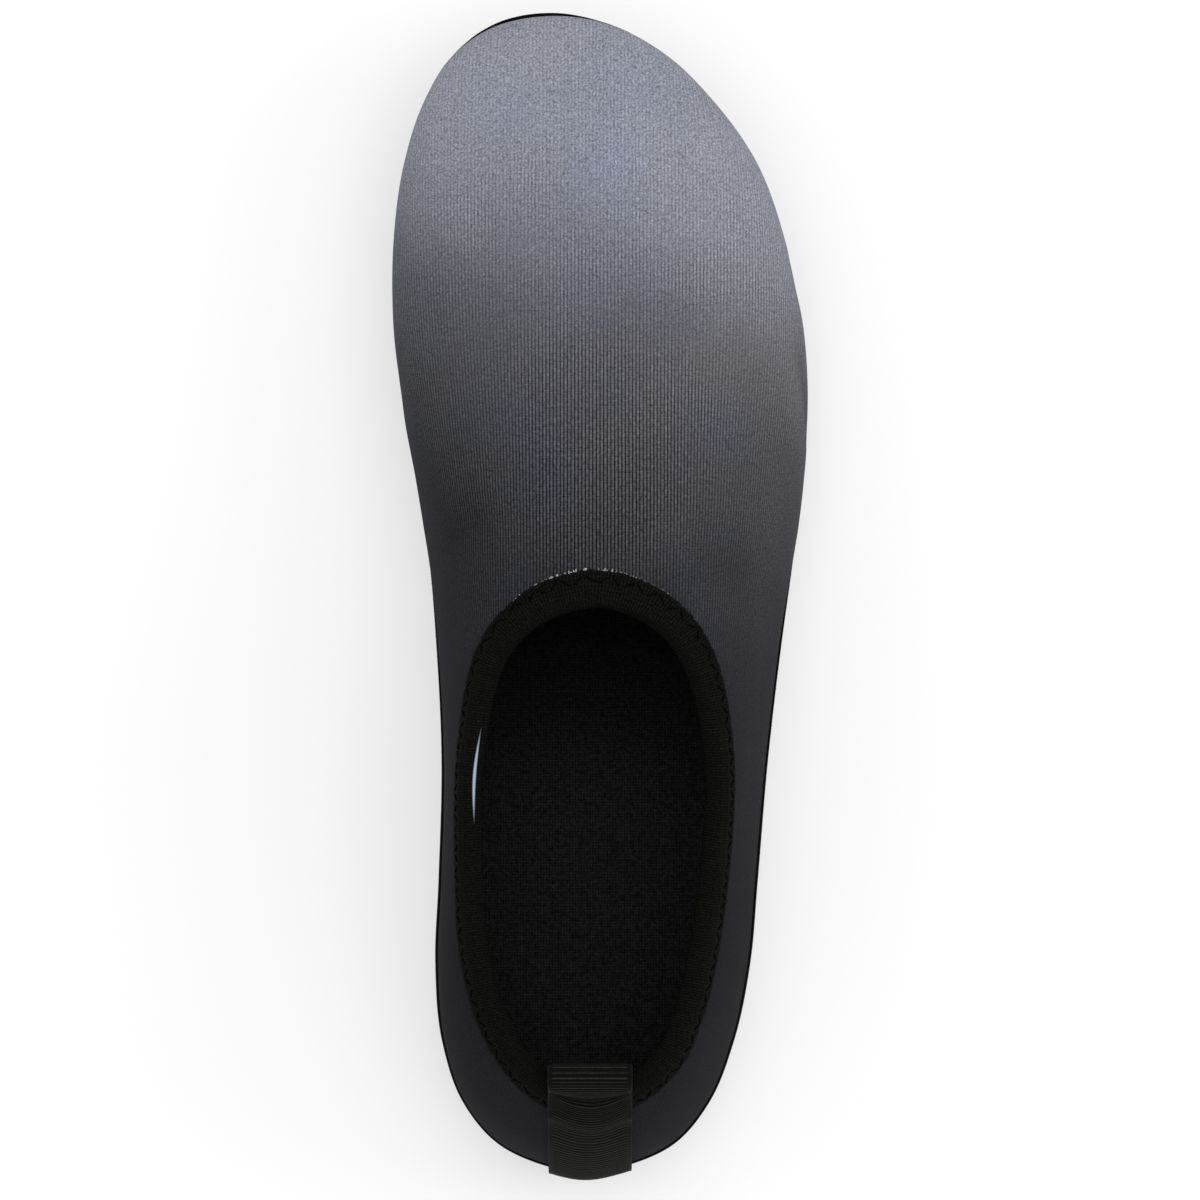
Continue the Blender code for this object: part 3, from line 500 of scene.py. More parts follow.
class Last:
    """The upper's surface as ribs. A rib leaves the seam nearly upright, a share `rise` of
    the way up, and comes in to the spine level with the crest, from a share `reach` of the
    way out. Behind the throat it ends at the collar's edge, which it passes through."""

    def __init__(self, samples=3601):
        self.q = np.linspace(0, 6, samples)
        self.outline = loop_of(OUTLINE, TOE_TIP, HEEL_TIP)
        self.collar = loop_of(COLLAR, COLLAR_FRONT[:2], COLLAR_BACK[:2])
        self.values = self.measure(self.q)

    def measure(self, q):
        """Rim, seam, handles and crest of each rib."""
        spine, direction = rib_base(q)
        outline = crossing(self.outline, spine, direction)
        y = spine[:, 1] + direction[:, 1] * outline
        stands_out = column(SIDES, 3, y)
        inner = 0.5 - 0.5 * direction[:, 0]
        rise = column(SIDES, 5, y) * inner + column(SIDES, 7, y) * (1 - inner)
        reach = column(SIDES, 6, y) * inner + column(SIDES, 8, y) * (1 - inner)
        flare = column(SIDES, 4, y)
        rim = outline - EDGE_STEP * unit(1 - 2 * stands_out)
        hold = rim / widest_of(flare, reach)
        foot = underside(y) + SIDEWALL_HEIGHT * column(SIDES, 1, y)
        crest = underside(spine[:, 1]) + INSTEP_HEIGHT * column(CREST, 1, spine[:, 1])
        ahead = spine[:, 1] + NEAR
        ahead = underside(ahead) + INSTEP_HEIGHT * column(CREST, 1, ahead)
        fanned = np.abs(direction[:, 1]) * (spine[:, 1] > 0)
        drop = (crest - ahead) / NEAR * fanned * reach * rim
        rib = dict(rim=rim, hold=hold, foot=foot, rise=rise, reach=reach, flare=flare,
                   drop=drop, outline=outline, stands_out=stands_out,
                   x=spine[:, 0], y=spine[:, 1], dx=direction[:, 0], dy=direction[:, 1])
        out = crossing(self.collar, spine, direction)
        _, high = self.halve(rib, out, 40)
        end = np.where(out > 0, high, 1.0)
        _, b1, b2, b3 = bernstein(end)
        edge = collar_height(spine[:, 1] + direction[:, 1] * out)
        top = foot + (edge - foot) / (rise * b1 + b2 + b3)
        return {**rib, "crest": np.where(end < 1, top, crest)}

    def radius(self, rib, u):
        """Distance of each rib from the spine at share u."""
        b0, b1, b2, _ = bernstein(u)
        return rib["hold"] * (b0 + (1 + rib["flare"]) * b1 + rib["reach"] * b2)

    def halve(self, rib, out, times):
        """Shares up each rib just below and just above the place where its radius is
        `out`, by halving the way in between."""
        low, high = np.full(out.shape, LOWEST_END), np.ones(out.shape)
        for _ in range(times):
            middle = (low + high) / 2
            wide = self.radius(rib, middle) > out
            low, high = np.where(wide, middle, low), np.where(wide, high, middle)
        return low, high

    def at(self, q):
        return {name: np.interp(q, self.q, line) for name, line in self.values.items()}

    def on(self, rib, u):
        """Points at share u up each rib: spine point plus direction times radius, and the
        height from the foot by the same four weights."""
        _, b1, b2, b3 = bernstein(u)
        radius = self.radius(rib, u)
        climb = rib["crest"] - rib["foot"]
        z = rib["foot"] + (climb - rib["drop"]) * (rib["rise"] * b1 + b2) + climb * b3
        return np.stack([rib["x"] + rib["dx"] * radius, rib["y"] + rib["dy"] * radius, z], -1)

    def place(self, q, u):
        return self.on(self.at(q), u)

    def normal(self, q, u):
        """Outward direction of the surface, from short steps both ways."""
        along = self.place(q + 0.01, u) - self.place(q - 0.01, u)
        up = self.place(q, u + 0.005) - self.place(q, u - 0.005)
        out = np.cross(up, along)
        size = np.linalg.norm(out, axis=-1, keepdims=True)
        return np.where(size > 1e-12, out / np.maximum(size, 1e-12), (0.0, 0.0, 1.0))

    def offset(self, q, u, distance):
        return self.place(q, u) + self.normal(q, u) * np.asarray(distance)[..., None]

    def locate(self, plan):
        """Rib q and share u of the surface over each point of the plan."""
        q = rib_of(plan)
        rib = self.at(q)
        out = np.hypot(plan[..., 0] - rib["x"], plan[..., 1] - rib["y"])
        return q, sum(self.halve(rib, out, 30)) / 2

    def from_crest(self, q, u, steps=24):
        """Length along the rib from share u up to its crest, as a sum of short chords."""
        rib = {name: line[..., None] for name, line in self.at(q).items()}
        u = np.broadcast_to(u, q.shape)[..., None]
        shares = u + (1 - u) * np.linspace(0, 1, steps)
        chords = np.diff(self.on(rib, shares), axis=-2)
        return np.linalg.norm(chords, axis=-1).sum(-1)

    def cloth(self, q, u):
        """Flat cloth coordinates: the plan, with each rib's radius unrolled to its length
        from the crest. First across from the middle, then along the shoe."""
        rib, length = self.at(q), self.from_crest(q, u)
        return np.stack([rib["x"] + rib["dx"] * length, rib["y"] + rib["dy"] * length], -1)


class CollarLine:
    """The collar's edge, and the places below it on the last's surface."""

    def __init__(self, last, points, outward):
        self.last, self.points, self.outward = last, points, outward
        self.reach = np.linspace(0, SEARCH_REACH, 81)
        plan = points[:, None] + outward[:, None] * self.reach[None, :, None]
        q, u = last.locate(plan)
        steps = np.linalg.norm(np.diff(last.place(q, u), axis=1), axis=-1)
        self.walked = np.concatenate([np.zeros((len(points), 1)), steps.cumsum(1)], 1)

    def below(self, distance):
        """Rib and share of the places that lie `distance` down from the edge."""
        distance = np.broadcast_to(distance, len(self.points))
        away = np.array([np.interp(d, w, self.reach) for d, w in zip(distance, self.walked)])
        return self.last.locate(self.points + self.outward * away[:, None])


def crowd_of(count, power):
    """Even shares from 0, or crowded to the start (power over 1) or to the end."""
    share = np.arange(count) / count
    return share**power if power >= 1 else 1 - (1 - share) ** (1 / power)


def collar_walk(last):
    """The collar's edge in plan with its length walked from the front, and the walk's
    four stops: front, both ends of the heel's fan, and its back."""
    loop = np.vstack([last.collar, last.collar[:1]])
    walked = walk_of(loop)
    behind = np.flatnonzero(last.collar[:, 1] < HEEL_POLE_Y)
    back = behind[np.abs(rib_of(last.collar[behind]) - 3).argmin()]
    stops = [0.0, walked[behind[0]], walked[back], walked[behind[-1]], walked[-1]]
    return loop, walked, stops


def collar_points(last, at):
    """Points of the edge at each walked length, and the directions out from there."""
    loop, walked, _ = collar_walk(last)
    points, ahead = [np.column_stack([np.interp(place, walked, loop[:, axis])
                                      for axis in (0, 1)]) for place in (at, at + NEAR)]
    along = (ahead - points) / np.linalg.norm(ahead - points, axis=1, keepdims=True)
    return points, np.column_stack([-along[:, 1], along[:, 0]])


# --- Meshes


def grid_faces(rows, columns, round_rows=False):
    """Quads of a grid, round in its columns, whose point (r, c) has number
    r * columns + c."""
    r, c = np.meshgrid(np.arange(rows if round_rows else rows - 1), np.arange(columns),
                       indexing="ij")
    below, beside = (r + 1) % rows, (c + 1) % columns
    corners = [r * columns + c, r * columns + beside, below * columns + beside,
               below * columns + c]
    return np.stack(corners, -1).reshape(-1, 4)


def add_object(name, data, place=(0.0, 0.0, 0.0)):
    """Object of the data at a place in the scene."""
    item = bpy.data.objects.new(name, data)
    item.location = place
    bpy.context.scene.collection.objects.link(item)
    return item


def add_piece(name, points, faces, material, stands_for=(), values=None, closed=True):
    """Object of merged points and quads at the origin, smooth and facing outwards. A quad
    that lost a corner to merging becomes a triangle."""
    points = np.asarray(points, float).reshape(-1, 3)
    _, first, index = np.unique(np.round(points, 7), axis=0, return_index=True,
                                return_inverse=True)
    points, faces = points[first], index.reshape(-1)[faces]
    a, b, c, d = points[faces].transpose(1, 0, 2)
    if closed and (a * (np.cross(b - a, c - a) + np.cross(c - a, d - a))).sum() < 0:
        faces = faces[:, ::-1]
    kept = faces != np.roll(faces, -1, axis=1)
    whole = kept.sum(1) >= 3
    faces, kept = faces[whole], kept[whole]
    corners = faces[kept]
    starts = np.concatenate([[0], np.cumsum(kept.sum(1))[:-1]])
    mesh = bpy.data.meshes.new(name)
    mesh.vertices.add(len(points))
    mesh.vertices.foreach_set("co", points.astype(np.float32).ravel())
    mesh.loops.add(len(corners))
    mesh.loops.foreach_set("vertex_index", corners.astype(np.int32))
    mesh.polygons.add(len(faces))
    mesh.polygons.foreach_set("loop_start", starts.astype(np.int32))
    mesh.update(calc_edges=True)
    mesh.validate()
    for key, value in (values or {}).items():
        value = np.asarray(value, float)
        wide = value.ndim > 1 and value.shape[-1] == 3
        layer = mesh.attributes.new(key, "FLOAT_VECTOR" if wide else "FLOAT", "POINT")
        flat = value.reshape(-1, 3)[first] if wide else value.ravel()[first]
        layer.data.foreach_set("vector" if wide else "value", flat.astype(np.float32).ravel())
    mesh.shade_smooth()
    mesh.materials.append(material)
    piece = add_object(name, mesh)
    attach(piece, "root")
    if stands_for:
        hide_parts(*stands_for)
    return piece


def ragged(count, seed, soft):
    """Closed line of uneven numbers between about -1 and 1, softened over its neighbours."""
    line = np.random.default_rng(seed).normal(0, 1, count)
    hump = bell(np.arange(-3 * soft, 3 * soft + 1) / soft)
    line = np.concatenate([line[-3 * soft:], line, line[:3 * soft]])
    line = np.convolve(line, hump, "valid")
    return line / np.abs(line).max()


def add_threads(name, paths, normals, radius, material, shade=(1.0,), sides=6):
    """Piece of tubes along many short paths: a ring of points round each path point, at
    the radius along the normal and the binormal, drawn in to nothing at both ends."""
    count, steps = paths.shape[:2]
    along = np.gradient(paths, axis=1)
    along /= np.linalg.norm(along, axis=-1, keepdims=True)
    across = np.cross(along, normals)
    across /= np.linalg.norm(across, axis=-1, keepdims=True)
    up = np.cross(across, along)
    taper = np.sqrt(unit(1 - np.abs(np.linspace(-1, 1, steps)) ** 6)) * radius
    turn = np.linspace(0, 2 * np.pi, sides, endpoint=False)[:, None]
    ring = np.cos(turn) * across[:, :, None] + np.sin(turn) * up[:, :, None]
    points = paths[:, :, None] + ring * taper[None, :, None, None]
    faces = grid_faces(steps, sides) + (np.arange(count) * steps * sides)[:, None, None]
    yarn = np.broadcast_to(np.asarray(shade, float)[..., None, None], points.shape[:3])
    add_piece(name, points, faces.reshape(-1, 4), material, values={"yarn": yarn})


# --- Materials


class Value:
    """Output of a node. The usual signs make Math nodes of it and a number or another."""

    def __init__(self, finish, socket):
        self.finish, self.socket = finish, socket

    def math(self, operation, other=0.0):
        inputs = {0: self, 1: other}
        return self.finish.node("ShaderNodeMath", inputs, operation=operation)

    def __add__(self, other):
        return self.math("ADD", other)

    def __sub__(self, other):
        return self.math("SUBTRACT", other)

    def __mul__(self, other):
        return self.math("MULTIPLY", other)

    def __pow__(self, power):
        return self.math("POWER", power)

    def wave(self, pitch):
        """Sine with one turn every pitch."""
        return (self * (2 * np.pi / pitch)).math("SINE")

    def remap(self, low, high, to_low=0.0, to_high=1.0):
        inputs = {"Value": self, 1: low, 2: high, 3: to_low, 4: to_high}
        return self.finish.node("ShaderNodeMapRange", inputs)


class Finish:
    """Principled material with short calls for its nodes."""

    def __init__(self, name, roughness, specular):
        self.material = bpy.data.materials.new(name)
        self.material.use_nodes = True
        self.tree = self.material.node_tree
        self.sockets = self.tree.nodes["Principled BSDF"].inputs
        self.put(self.sockets["Roughness"], roughness)
        self.put(self.sockets["Specular IOR Level"], specular)
        self.place = self.node("ShaderNodeTexCoord", output="Object")

    def put(self, socket, value):
        """Links a value to a socket, or types a number or a row of numbers into it."""
        if isinstance(value, Value):
            self.tree.links.new(value.socket, socket)
        else:
            socket.default_value = value if np.isscalar(value) else tuple(value)

    def node(self, kind, inputs=None, output=0, **options):
        """One output of a new node with these options, and inputs by name or number."""
        node = self.tree.nodes.new(kind)
        for name, option in options.items():
            setattr(node, name, option)
        for key, value in (inputs or {}).items():
            self.put(node.inputs[key], value)
        return Value(self, node.outputs[output])

    def attribute(self, name, output):
        return self.node("ShaderNodeAttribute", output=output, attribute_name=name)

    def split(self, vector):
        inputs = {"Vector": vector}
        return [self.node("ShaderNodeSeparateXYZ", inputs, axis) for axis in range(3)]

    def scaled(self, vector, factors):
        return self.node("ShaderNodeMapping", {"Vector": vector, "Scale": factors})

    def noise(self, scale, detail=3.0, rough=0.5, vector=None):
        """Noise by place, or by another vector."""
        return self.node("ShaderNodeTexNoise", {
            "Vector": vector or self.place, "Scale": scale, "Detail": detail,
            "Roughness": rough}, "Fac")

    def ramp(self, value, stops, shift=0.0, interpolation="LINEAR"):
        """Colour by a value, between (value, colour) stops, all moved up by a shift."""
        low, high = stops[0][0], stops[-1][0]
        share = value.remap(low + shift, high + shift)
        colour = self.node("ShaderNodeValToRGB", {"Fac": share})
        ramp = colour.socket.node.color_ramp
        ramp.interpolation = interpolation
        while len(ramp.elements) < len(stops):
            ramp.elements.new(0.5)
        for element, (at, shown) in zip(ramp.elements, stops):
            element.position = (at - low) / (high - low)
            element.color = (*shown, 1.0)
        return colour

    def mix(self, share, a, b, blend="MIX"):
        return self.node("ShaderNodeMix", {0: share, 6: a, 7: (*b, 1.0)}, 2,
                         data_type="RGBA", blend_type=blend)

    def shade(self, colour, *amounts):
        """A colour times some numbers."""
        for amount in amounts:
            inputs = {0: colour, "Scale": amount}
            colour = self.node("ShaderNodeVectorMath", inputs, operation="SCALE")
        return colour

    def done(self, colour, *layers):
        """The material with its colour, and bump from (height, distance in metres,
        strength) layers, one over the other."""
        self.put(self.sockets["Base Color"], colour)
        below = {}
        for height, distance, strength in layers:
            normal = self.node("ShaderNodeBump", {
                "Height": height, "Distance": distance, "Strength": strength, **below})
            below = {"Normal": normal}
        for name, normal in below.items():
            self.put(self.sockets[name], normal)
        return self.material


def knit_height(finish, cloth, wale, course):
    """Plain knit: rounded wales side by side, each a row of uneven slanted stitches."""
    across, along, _ = finish.split(cloth)
    phase = across * (np.pi / wale)
    ridge = phase.math("SINE").math("ABSOLUTE") ** 0.7
    slant = (phase * 2.0).math("COSINE") * 1.1
    stitch = (along * (2 * np.pi / course) + slant).math("SINE") * 0.07 + 0.42
    uneven = finish.noise(1.0, 1.0, vector=finish.scaled(cloth, (1 / wale, 0.8 / course, 0.0)))
    return ridge * (uneven * 0.85 + stitch)


def stretch_knit(looks):
    """Fine ribbed knit: the fade by place along the shoe, leaning to the outer side, with a
    little drift, and painted shade in the gap between wales, so that each wale is lighter on
    its top. The painted wale shade is calm at the toe and strong at the throat and the foot,
    the folds get painted light on their ridges and painted shade in their troughs, the inner
    side has painted shade behind and painted light further forward, and the foot of the outer
    heel half has painted shade."""
    finish = Finish("stretch_knit", 0.9, 0.05)
    x, y, z = finish.split(finish.place)
    lean = x * looks.fade_lean + y + finish.noise(26.0, 2.0) * 0.016
    heel, toe = np.array(looks.knit_heel), np.array(looks.knit_toe)
    fade = finish.ramp(lean, [(at, heel + (toe - heel) * share) for at, share in FADE],
                       FADE_SHIFT, "B_SPLINE")
    cloth = finish.attribute("cloth", "Vector")
    knit = knit_height(finish, cloth, looks.wale_pitch, looks.course_pitch)
    height = (knit - KNIT_MEAN) * y.remap(0.066, 0.104, 1.0, 0.34)
    away = finish.node("ShaderNodeVectorMath", {0: finish.place, 1: THROAT}, "Value",
                       operation="DISTANCE")
    # Painted shade: the gap between wales darker and the top of a wale lighter, strongest near
    # the throat and low down
    strength = (finish.noise(60.0).remap(0.3, 0.7, 0.35, 0.85)
                + away.remap(0.014, 0.046, 1.1, 0.0) + z.remap(0.015, 0.045, 0.35, 0.0))
    wales = height * strength * looks.wale_contrast + 1.0
    mottle = (finish.noise(2300.0, 2.0) - 0.5) * y.remap(0.050, 0.100, 1.6, 2.1) + 1.0
    cloud = finish.noise(45.0, 4.0).remap(0.25, 0.75, 0.93, 1.07)
    # Painted shading from the folds: lighter on a fold's ridge, darker in its trough
    painted_shading = finish.split(cloth)[2] * looks.fold_contrast + 1.0
    # Painted shade on the inner side behind the throat, and painted light in front of it
    half = finish.ramp(y, [(at, (share / 2,) * 3) for at, share in INNER_SHADE])
    turned = (half * 2.0 - 1.0) * x.remap(-0.020, -0.040)
    # Painted shade low on the foot of the outer heel half
    foot = z.remap(0.046, 0.020, 0.0, -0.38) * y.remap(0.014, -0.010) * x.remap(0.010, 0.025)
    base = finish.shade(fade, wales, mottle, cloud, painted_shading, turned + foot + 1.0)
    cool = finish.noise(34.0, 2.0).remap(0.50, 0.72)
    cooled = finish.mix(cool, base, (0.95, 0.985, 1.06), "MULTIPLY")
    warm = (y.remap(0.084, 0.058) * y.remap(-0.010, 0.030)
            * x.remap(-0.040, 0.028, 0.35, 1.0))
    return finish.done(finish.mix(warm, cooled, (1.035, 1.005, 0.950), "MULTIPLY"),
                       (height, 0.00012, 0.55), (finish.noise(2600.0, 2.0), 0.00008, 0.25))


def knit_lining(looks):
    """Black brushed lining of the upper."""
    finish = Finish("knit_lining", 0.95, 0.04)
    shade = finish.noise(700.0).remap(0.3, 0.7, 0.6, 1.5)
    return finish.done(finish.shade(looks.lining, shade),
                       (finish.noise(1800.0, 2.0), 0.0002, 0.4))


def binding_knit(looks):
    """Knit tape: fine ribs across its length, a little uneven, with painted shade between the
    ribs and painted light on them, and one painted highlight, a pale sliver on the fold of the
    inner side."""
    finish = Finish("binding_knit", 0.92, 0.03)
    along, across, fold = finish.split(finish.attribute("tape", "Vector"))
    rib = (along + finish.noise(500.0, 2.0) * 0.0004).wave(0.00062)
    height = rib * 0.5 + across.wave(0.0009) * 0.25
    speck = finish.noise(2400.0, 2.0).remap(0.35, 0.68, 0.5, 1.7)
    # Painted shade between the tape's ribs and painted light on their tops
    cloth = finish.shade(looks.binding, speck * (height * 0.85 + 1.0))
    # Painted highlight: a pale sliver along the inner side's fold
    x, y, _ = finish.split(finish.place)
    share = (y - SLIVER_MIDDLE) * (1 / SLIVER_HALF_LENGTH)
    half = share * share * -SLIVER_HALF_WIDTH + SLIVER_HALF_WIDTH
    within = half - (fold - 0.50).math("ABSOLUTE")
    sliver = within.remap(0.0, 0.05) * x.math("LESS_THAN", 0.0)
    return finish.done(finish.mix(sliver, cloth, looks.fold_highlight),
                       (height, 0.00010, 0.5), (finish.noise(2200.0), 0.0001, 0.3))


def thread_finish(name, colour):
    """Twisted sewing thread, some lengths paler than others."""
    finish = Finish(name, 0.9, 0.03)
    shade = finish.noise(3000.0, 2.0).remap(0.3, 0.7, 0.75, 1.3)
    return finish.done(finish.shade(colour, shade, finish.attribute("yarn", "Fac")),
                       (finish.noise(5000.0), 0.00005, 0.4))


def pull_webbing(looks):
    """Webbing: cross ribs with painted highlights on their tops and painted shade between
    them, some more than others and the loop's most, plain selvedges, and a faint weave."""
    finish = Finish("webbing", 0.75, 0.06)
    along, across, rib = finish.split(finish.attribute("weave", "Vector"))
    # Painted highlights: some ribs brighter than others, and brightest on the loop's top
    number = (along + 0.5).math("FLOOR")
    pale = ((number * 2.4).math("SINE") * 0.5 + 0.5) ** 2.0
    high = finish.split(finish.place)[2].remap(0.079, 0.0852, 0.0, 1.7)
    # Painted shade in the gaps between ribs, painted highlights on their tops
    lit = rib.remap(0.05, 1.0) * (pale * (high + 1.1) + 1.5) + 0.30
    speck = finish.noise(1600.0, 2.0).remap(0.3, 0.7, 0.65, 1.35)
    return finish.done(finish.shade(looks.webbing, lit, speck),
                       (across.wave(0.0005), 0.00004, 0.5),
                       (finish.noise(3000.0), 0.00006, 0.3))


def seam_felt(looks):
    """Felt of the seam, with no gloss."""
    finish = Finish("seam_felt", 1.0, 0.03)
    shade = finish.noise(900.0).remap(0.3, 0.7, 0.5, 1.6)
    return finish.done(finish.shade(looks.felt, shade), (finish.noise(1500.0), 0.0003, 0.7))


def outsole_rubber(looks):
    """Moulded rubber: matt, with painted shading that makes it lighter on its ridges than in
    its grooves, fine pits on the ridges and dull scuffs."""
    finish = Finish("outsole_rubber", 0.6, 0.14)
    relief = finish.attribute("relief", "Fac")
    # Rubber colour with painted shading by depth
    painted_shading = finish.ramp(relief, [(at, np.array(looks.rubber) * share)
                                for at, share in RUBBER_SHADE])
    cloud = finish.noise(70.0, 4.0).remap(0.3, 0.7, 0.8, 1.25)
    pits = finish.noise(1300.0, 2.0).remap(0.36, 0.52, 0.35, 1.0)
    speck = (pits - 1.0) * relief.remap(-0.1, -0.25) + 1.0
    scuffs = finish.noise(160.0, 4.0, 0.6, finish.scaled(finish.place, (1.0, 0.35, 2.0)))
    finish.put(finish.sockets["Roughness"], scuffs.remap(0.3, 0.7, 0.52, 0.78))
    return finish.done(finish.shade(painted_shading, cloud, speck),
                       (finish.noise(1400.0), 0.00008, 0.35))


def insole_cloth(looks):
    """Fine mesh cloth: small round holes in staggered rows, by place in the plan, with painted
    shade towards the front.
    """
    finish = Finish("insole_cloth", 0.9, 0.05)
    x, y, _ = finish.split(finish.place)
    holes = (y + x).wave(looks.mesh_pitch) * (y - x).wave(looks.mesh_pitch)
    speck = finish.noise(1100.0, 3.0, 0.7).remap(0.35, 0.7, 0.5, 1.85)
    # Painted shade towards the front, under the vamp
    front = y.remap(-0.045, 0.005, 1.0, 0.3)
    return finish.done(finish.shade(looks.insole, speck, holes * 0.5 + 1.0, front),
                       (holes, 0.0002, 0.5), (finish.noise(1500.0), 0.0001, 0.4))


def pale_floor(looks):
    """Plain pale sweep, lit a little from behind, which softens the shadow on it."""
    finish = Finish("pale_floor", 0.9, 0.0)
    finish.put(finish.sockets["Emission Color"], (1.0, 1.0, 1.0, 1.0))
    finish.put(finish.sockets["Emission Strength"], looks.floor_glow)
    faint = finish.noise(3.0, 2.0).remap(0.3, 0.7, 0.985, 1.0)
    return finish.done(finish.shade(looks.floor, faint))


# --- Pieces


def fold_rise(cloth):
    """Rise of the soft folds: for each fold a bell across its line, which fades out to its
    ends by a bell along it."""
    rise = np.zeros(cloth.shape[:-1])
    for row in FOLDS:
        start, end = row[0:2], row[2:4]
        line = end - start
        length = np.linalg.norm(line)
        away = cloth - start
        t = (away @ line) / length**2
        off = (away[..., 0] * line[1] - away[..., 1] * line[0]) / length
        bow = off - row[4] * 0.6 * np.sin(np.pi * unit(t))
        rise += row[5] * np.exp(-((bow / row[4]) ** 2) - ((t - 0.5) / 0.42) ** 4)
    return rise


def cloth_drift(points):
    """Low, wide unevenness of the cloth: three crossed waves."""
    x, y, z = points[..., 0], points[..., 1], points[..., 2]
    return CLOTH_WAVE * (np.sin(140 * x + 60 * y) + np.sin(95 * y - 120 * z + 1.0)
                         + np.sin(170 * z + 75 * x + 50 * y + 2.0))


def distance_to_loop(plan, loop):
    """Distance from each point of the plan to the nearest sample of a closed curve."""
    flat = plan.reshape(-1, 2)
    found = [np.sqrt(((part[:, None] - loop[None, ::3]) ** 2).sum(-1).min(1))
             for part in np.array_split(flat, 40)]
    return np.concatenate(found).reshape(plan.shape[:-1])


def knit_columns(last):
    """Grid columns clockwise from the toe tip: rib at the foot, rib at the top and share of
    that rib at the top. The vamp's end on the crest, the others at the collar's edge."""
    throat = (TOE_POLE - COLLAR_FRONT[0]) / (TOE_POLE - HEEL_POLE) + 1
    foot_throat = throat - THROAT_LEAN
    toe = np.arange(TOE_COLUMNS) / TOE_COLUMNS
    heel = 2 + np.arange(HEEL_COLUMNS) / HEEL_COLUMNS
    vamp = np.arange(VAMP_COLUMNS) / VAMP_COLUMNS
    quarter = np.arange(COLLAR_COLUMNS) / COLLAR_COLUMNS
    foot = np.concatenate([toe, 1 + vamp * (foot_throat - 1),
                           foot_throat + quarter * (2 - foot_throat), heel])
    foot = np.concatenate([foot, [3.0], (6 - foot)[:0:-1]])
    front = np.concatenate([toe, 1 + vamp * (throat - 1)])
    _, _, stops = collar_walk(last)
    counts = [COLLAR_COLUMNS, HEEL_COLUMNS, HEEL_COLUMNS, COLLAR_COLUMNS]
    crowded = (FRONT_CROWDING, 1, 1, 1 / FRONT_CROWDING)
    at = np.concatenate([stops[k] + (stops[k + 1] - stops[k]) * crowd_of(counts[k], crowded[k])
                         for k in range(4)])
    line = CollarLine(last, *collar_points(last, at))
    q, u = line.below(BINDING_THICKNESS + 2 * CLEARANCE)
    top = np.concatenate([front, q, [6 - q[0]], (6 - front)[:0:-1]])
    share = np.concatenate([np.ones(len(front)), u, [u[0]], np.ones(len(front) - 1)])
    return foot, top, share


def make_knit_upper(last, sizes, looks):
    """Sock of one even wall: points of the last at rib q and share u, moved along the
    normal by the folds and the drift, which die away at the seam and the binding. The heel
    half's foot is drawn in a little, most on the outer side."""
    foot, top, share = knit_columns(last)
    climb = np.linspace(0, 1, KNIT_ROWS + 1)[:, None]
    q = foot + (top - foot) * climb**COLUMN_LEAN
    u = climb * share
    points, cloth = last.place(q, u), last.cloth(q, u)
    edge = unit(distance_to_loop(points[..., :2], last.collar) / EDGE_CALM - 0.5)
    seam = unit(climb * 7.0)
    folds = fold_rise(cloth)
    rise = (sizes.fold_depth * folds + cloth_drift(points)) * edge * seam
    behind = unit((0.015 - points[..., 1]) / 0.03)
    outer = 0.5 + 0.5 * np.clip(points[..., 0] / 0.01, -0.2, 1)
    rise = rise - KNIT_INSET * behind * outer * bell(u / 0.35) * seam
    points = points + last.normal(q, u) * rise[..., None]
    # The third part is the folds' rise, which the knit's colour turns into painted shading
    cloth = np.concatenate([cloth, folds[..., None] / FOLD_UNIT], -1)
    upper = add_piece("knit_upper", points, grid_faces(*q.shape), stretch_knit(looks),
                      ["upper"], {"cloth": cloth}, closed=False)
    if upward_share(upper) < 0:
        upper.data.flip_normals()
    upper.data.materials.append(knit_lining(looks))
    wall = upper.modifiers.new("wall", "SOLIDIFY")
    wall.thickness = UPPER_WALL
    wall.offset = -1
    wall.use_even_offset = True
    wall.material_offset = 1
    wall.material_offset_rim = 1


def upward_share(piece):
    """Sum of the upward parts of a piece's face normals, weighted by area."""
    count = len(piece.data.polygons)
    normals, areas = np.empty(count * 3, np.float32), np.empty(count, np.float32)
    piece.data.polygons.foreach_get("normal", normals)
    piece.data.polygons.foreach_get("area", areas)
    return float((normals.reshape(-1, 3)[:, 2] * areas).sum())


def binding_line(last, at):
    """Line of places below the collar's edge at each walked length, and the tape's width
    there, which grows towards the throat."""
    line = CollarLine(last, *collar_points(last, at))
    front = (station_of(line.points[:, 1]) - COLLAR_FRONT[0]) / THROAT_LENGTH
    return line, BINDING_WIDTH + (TAPE_THROAT_WIDTH - BINDING_WIDTH) * unit(1 + front)


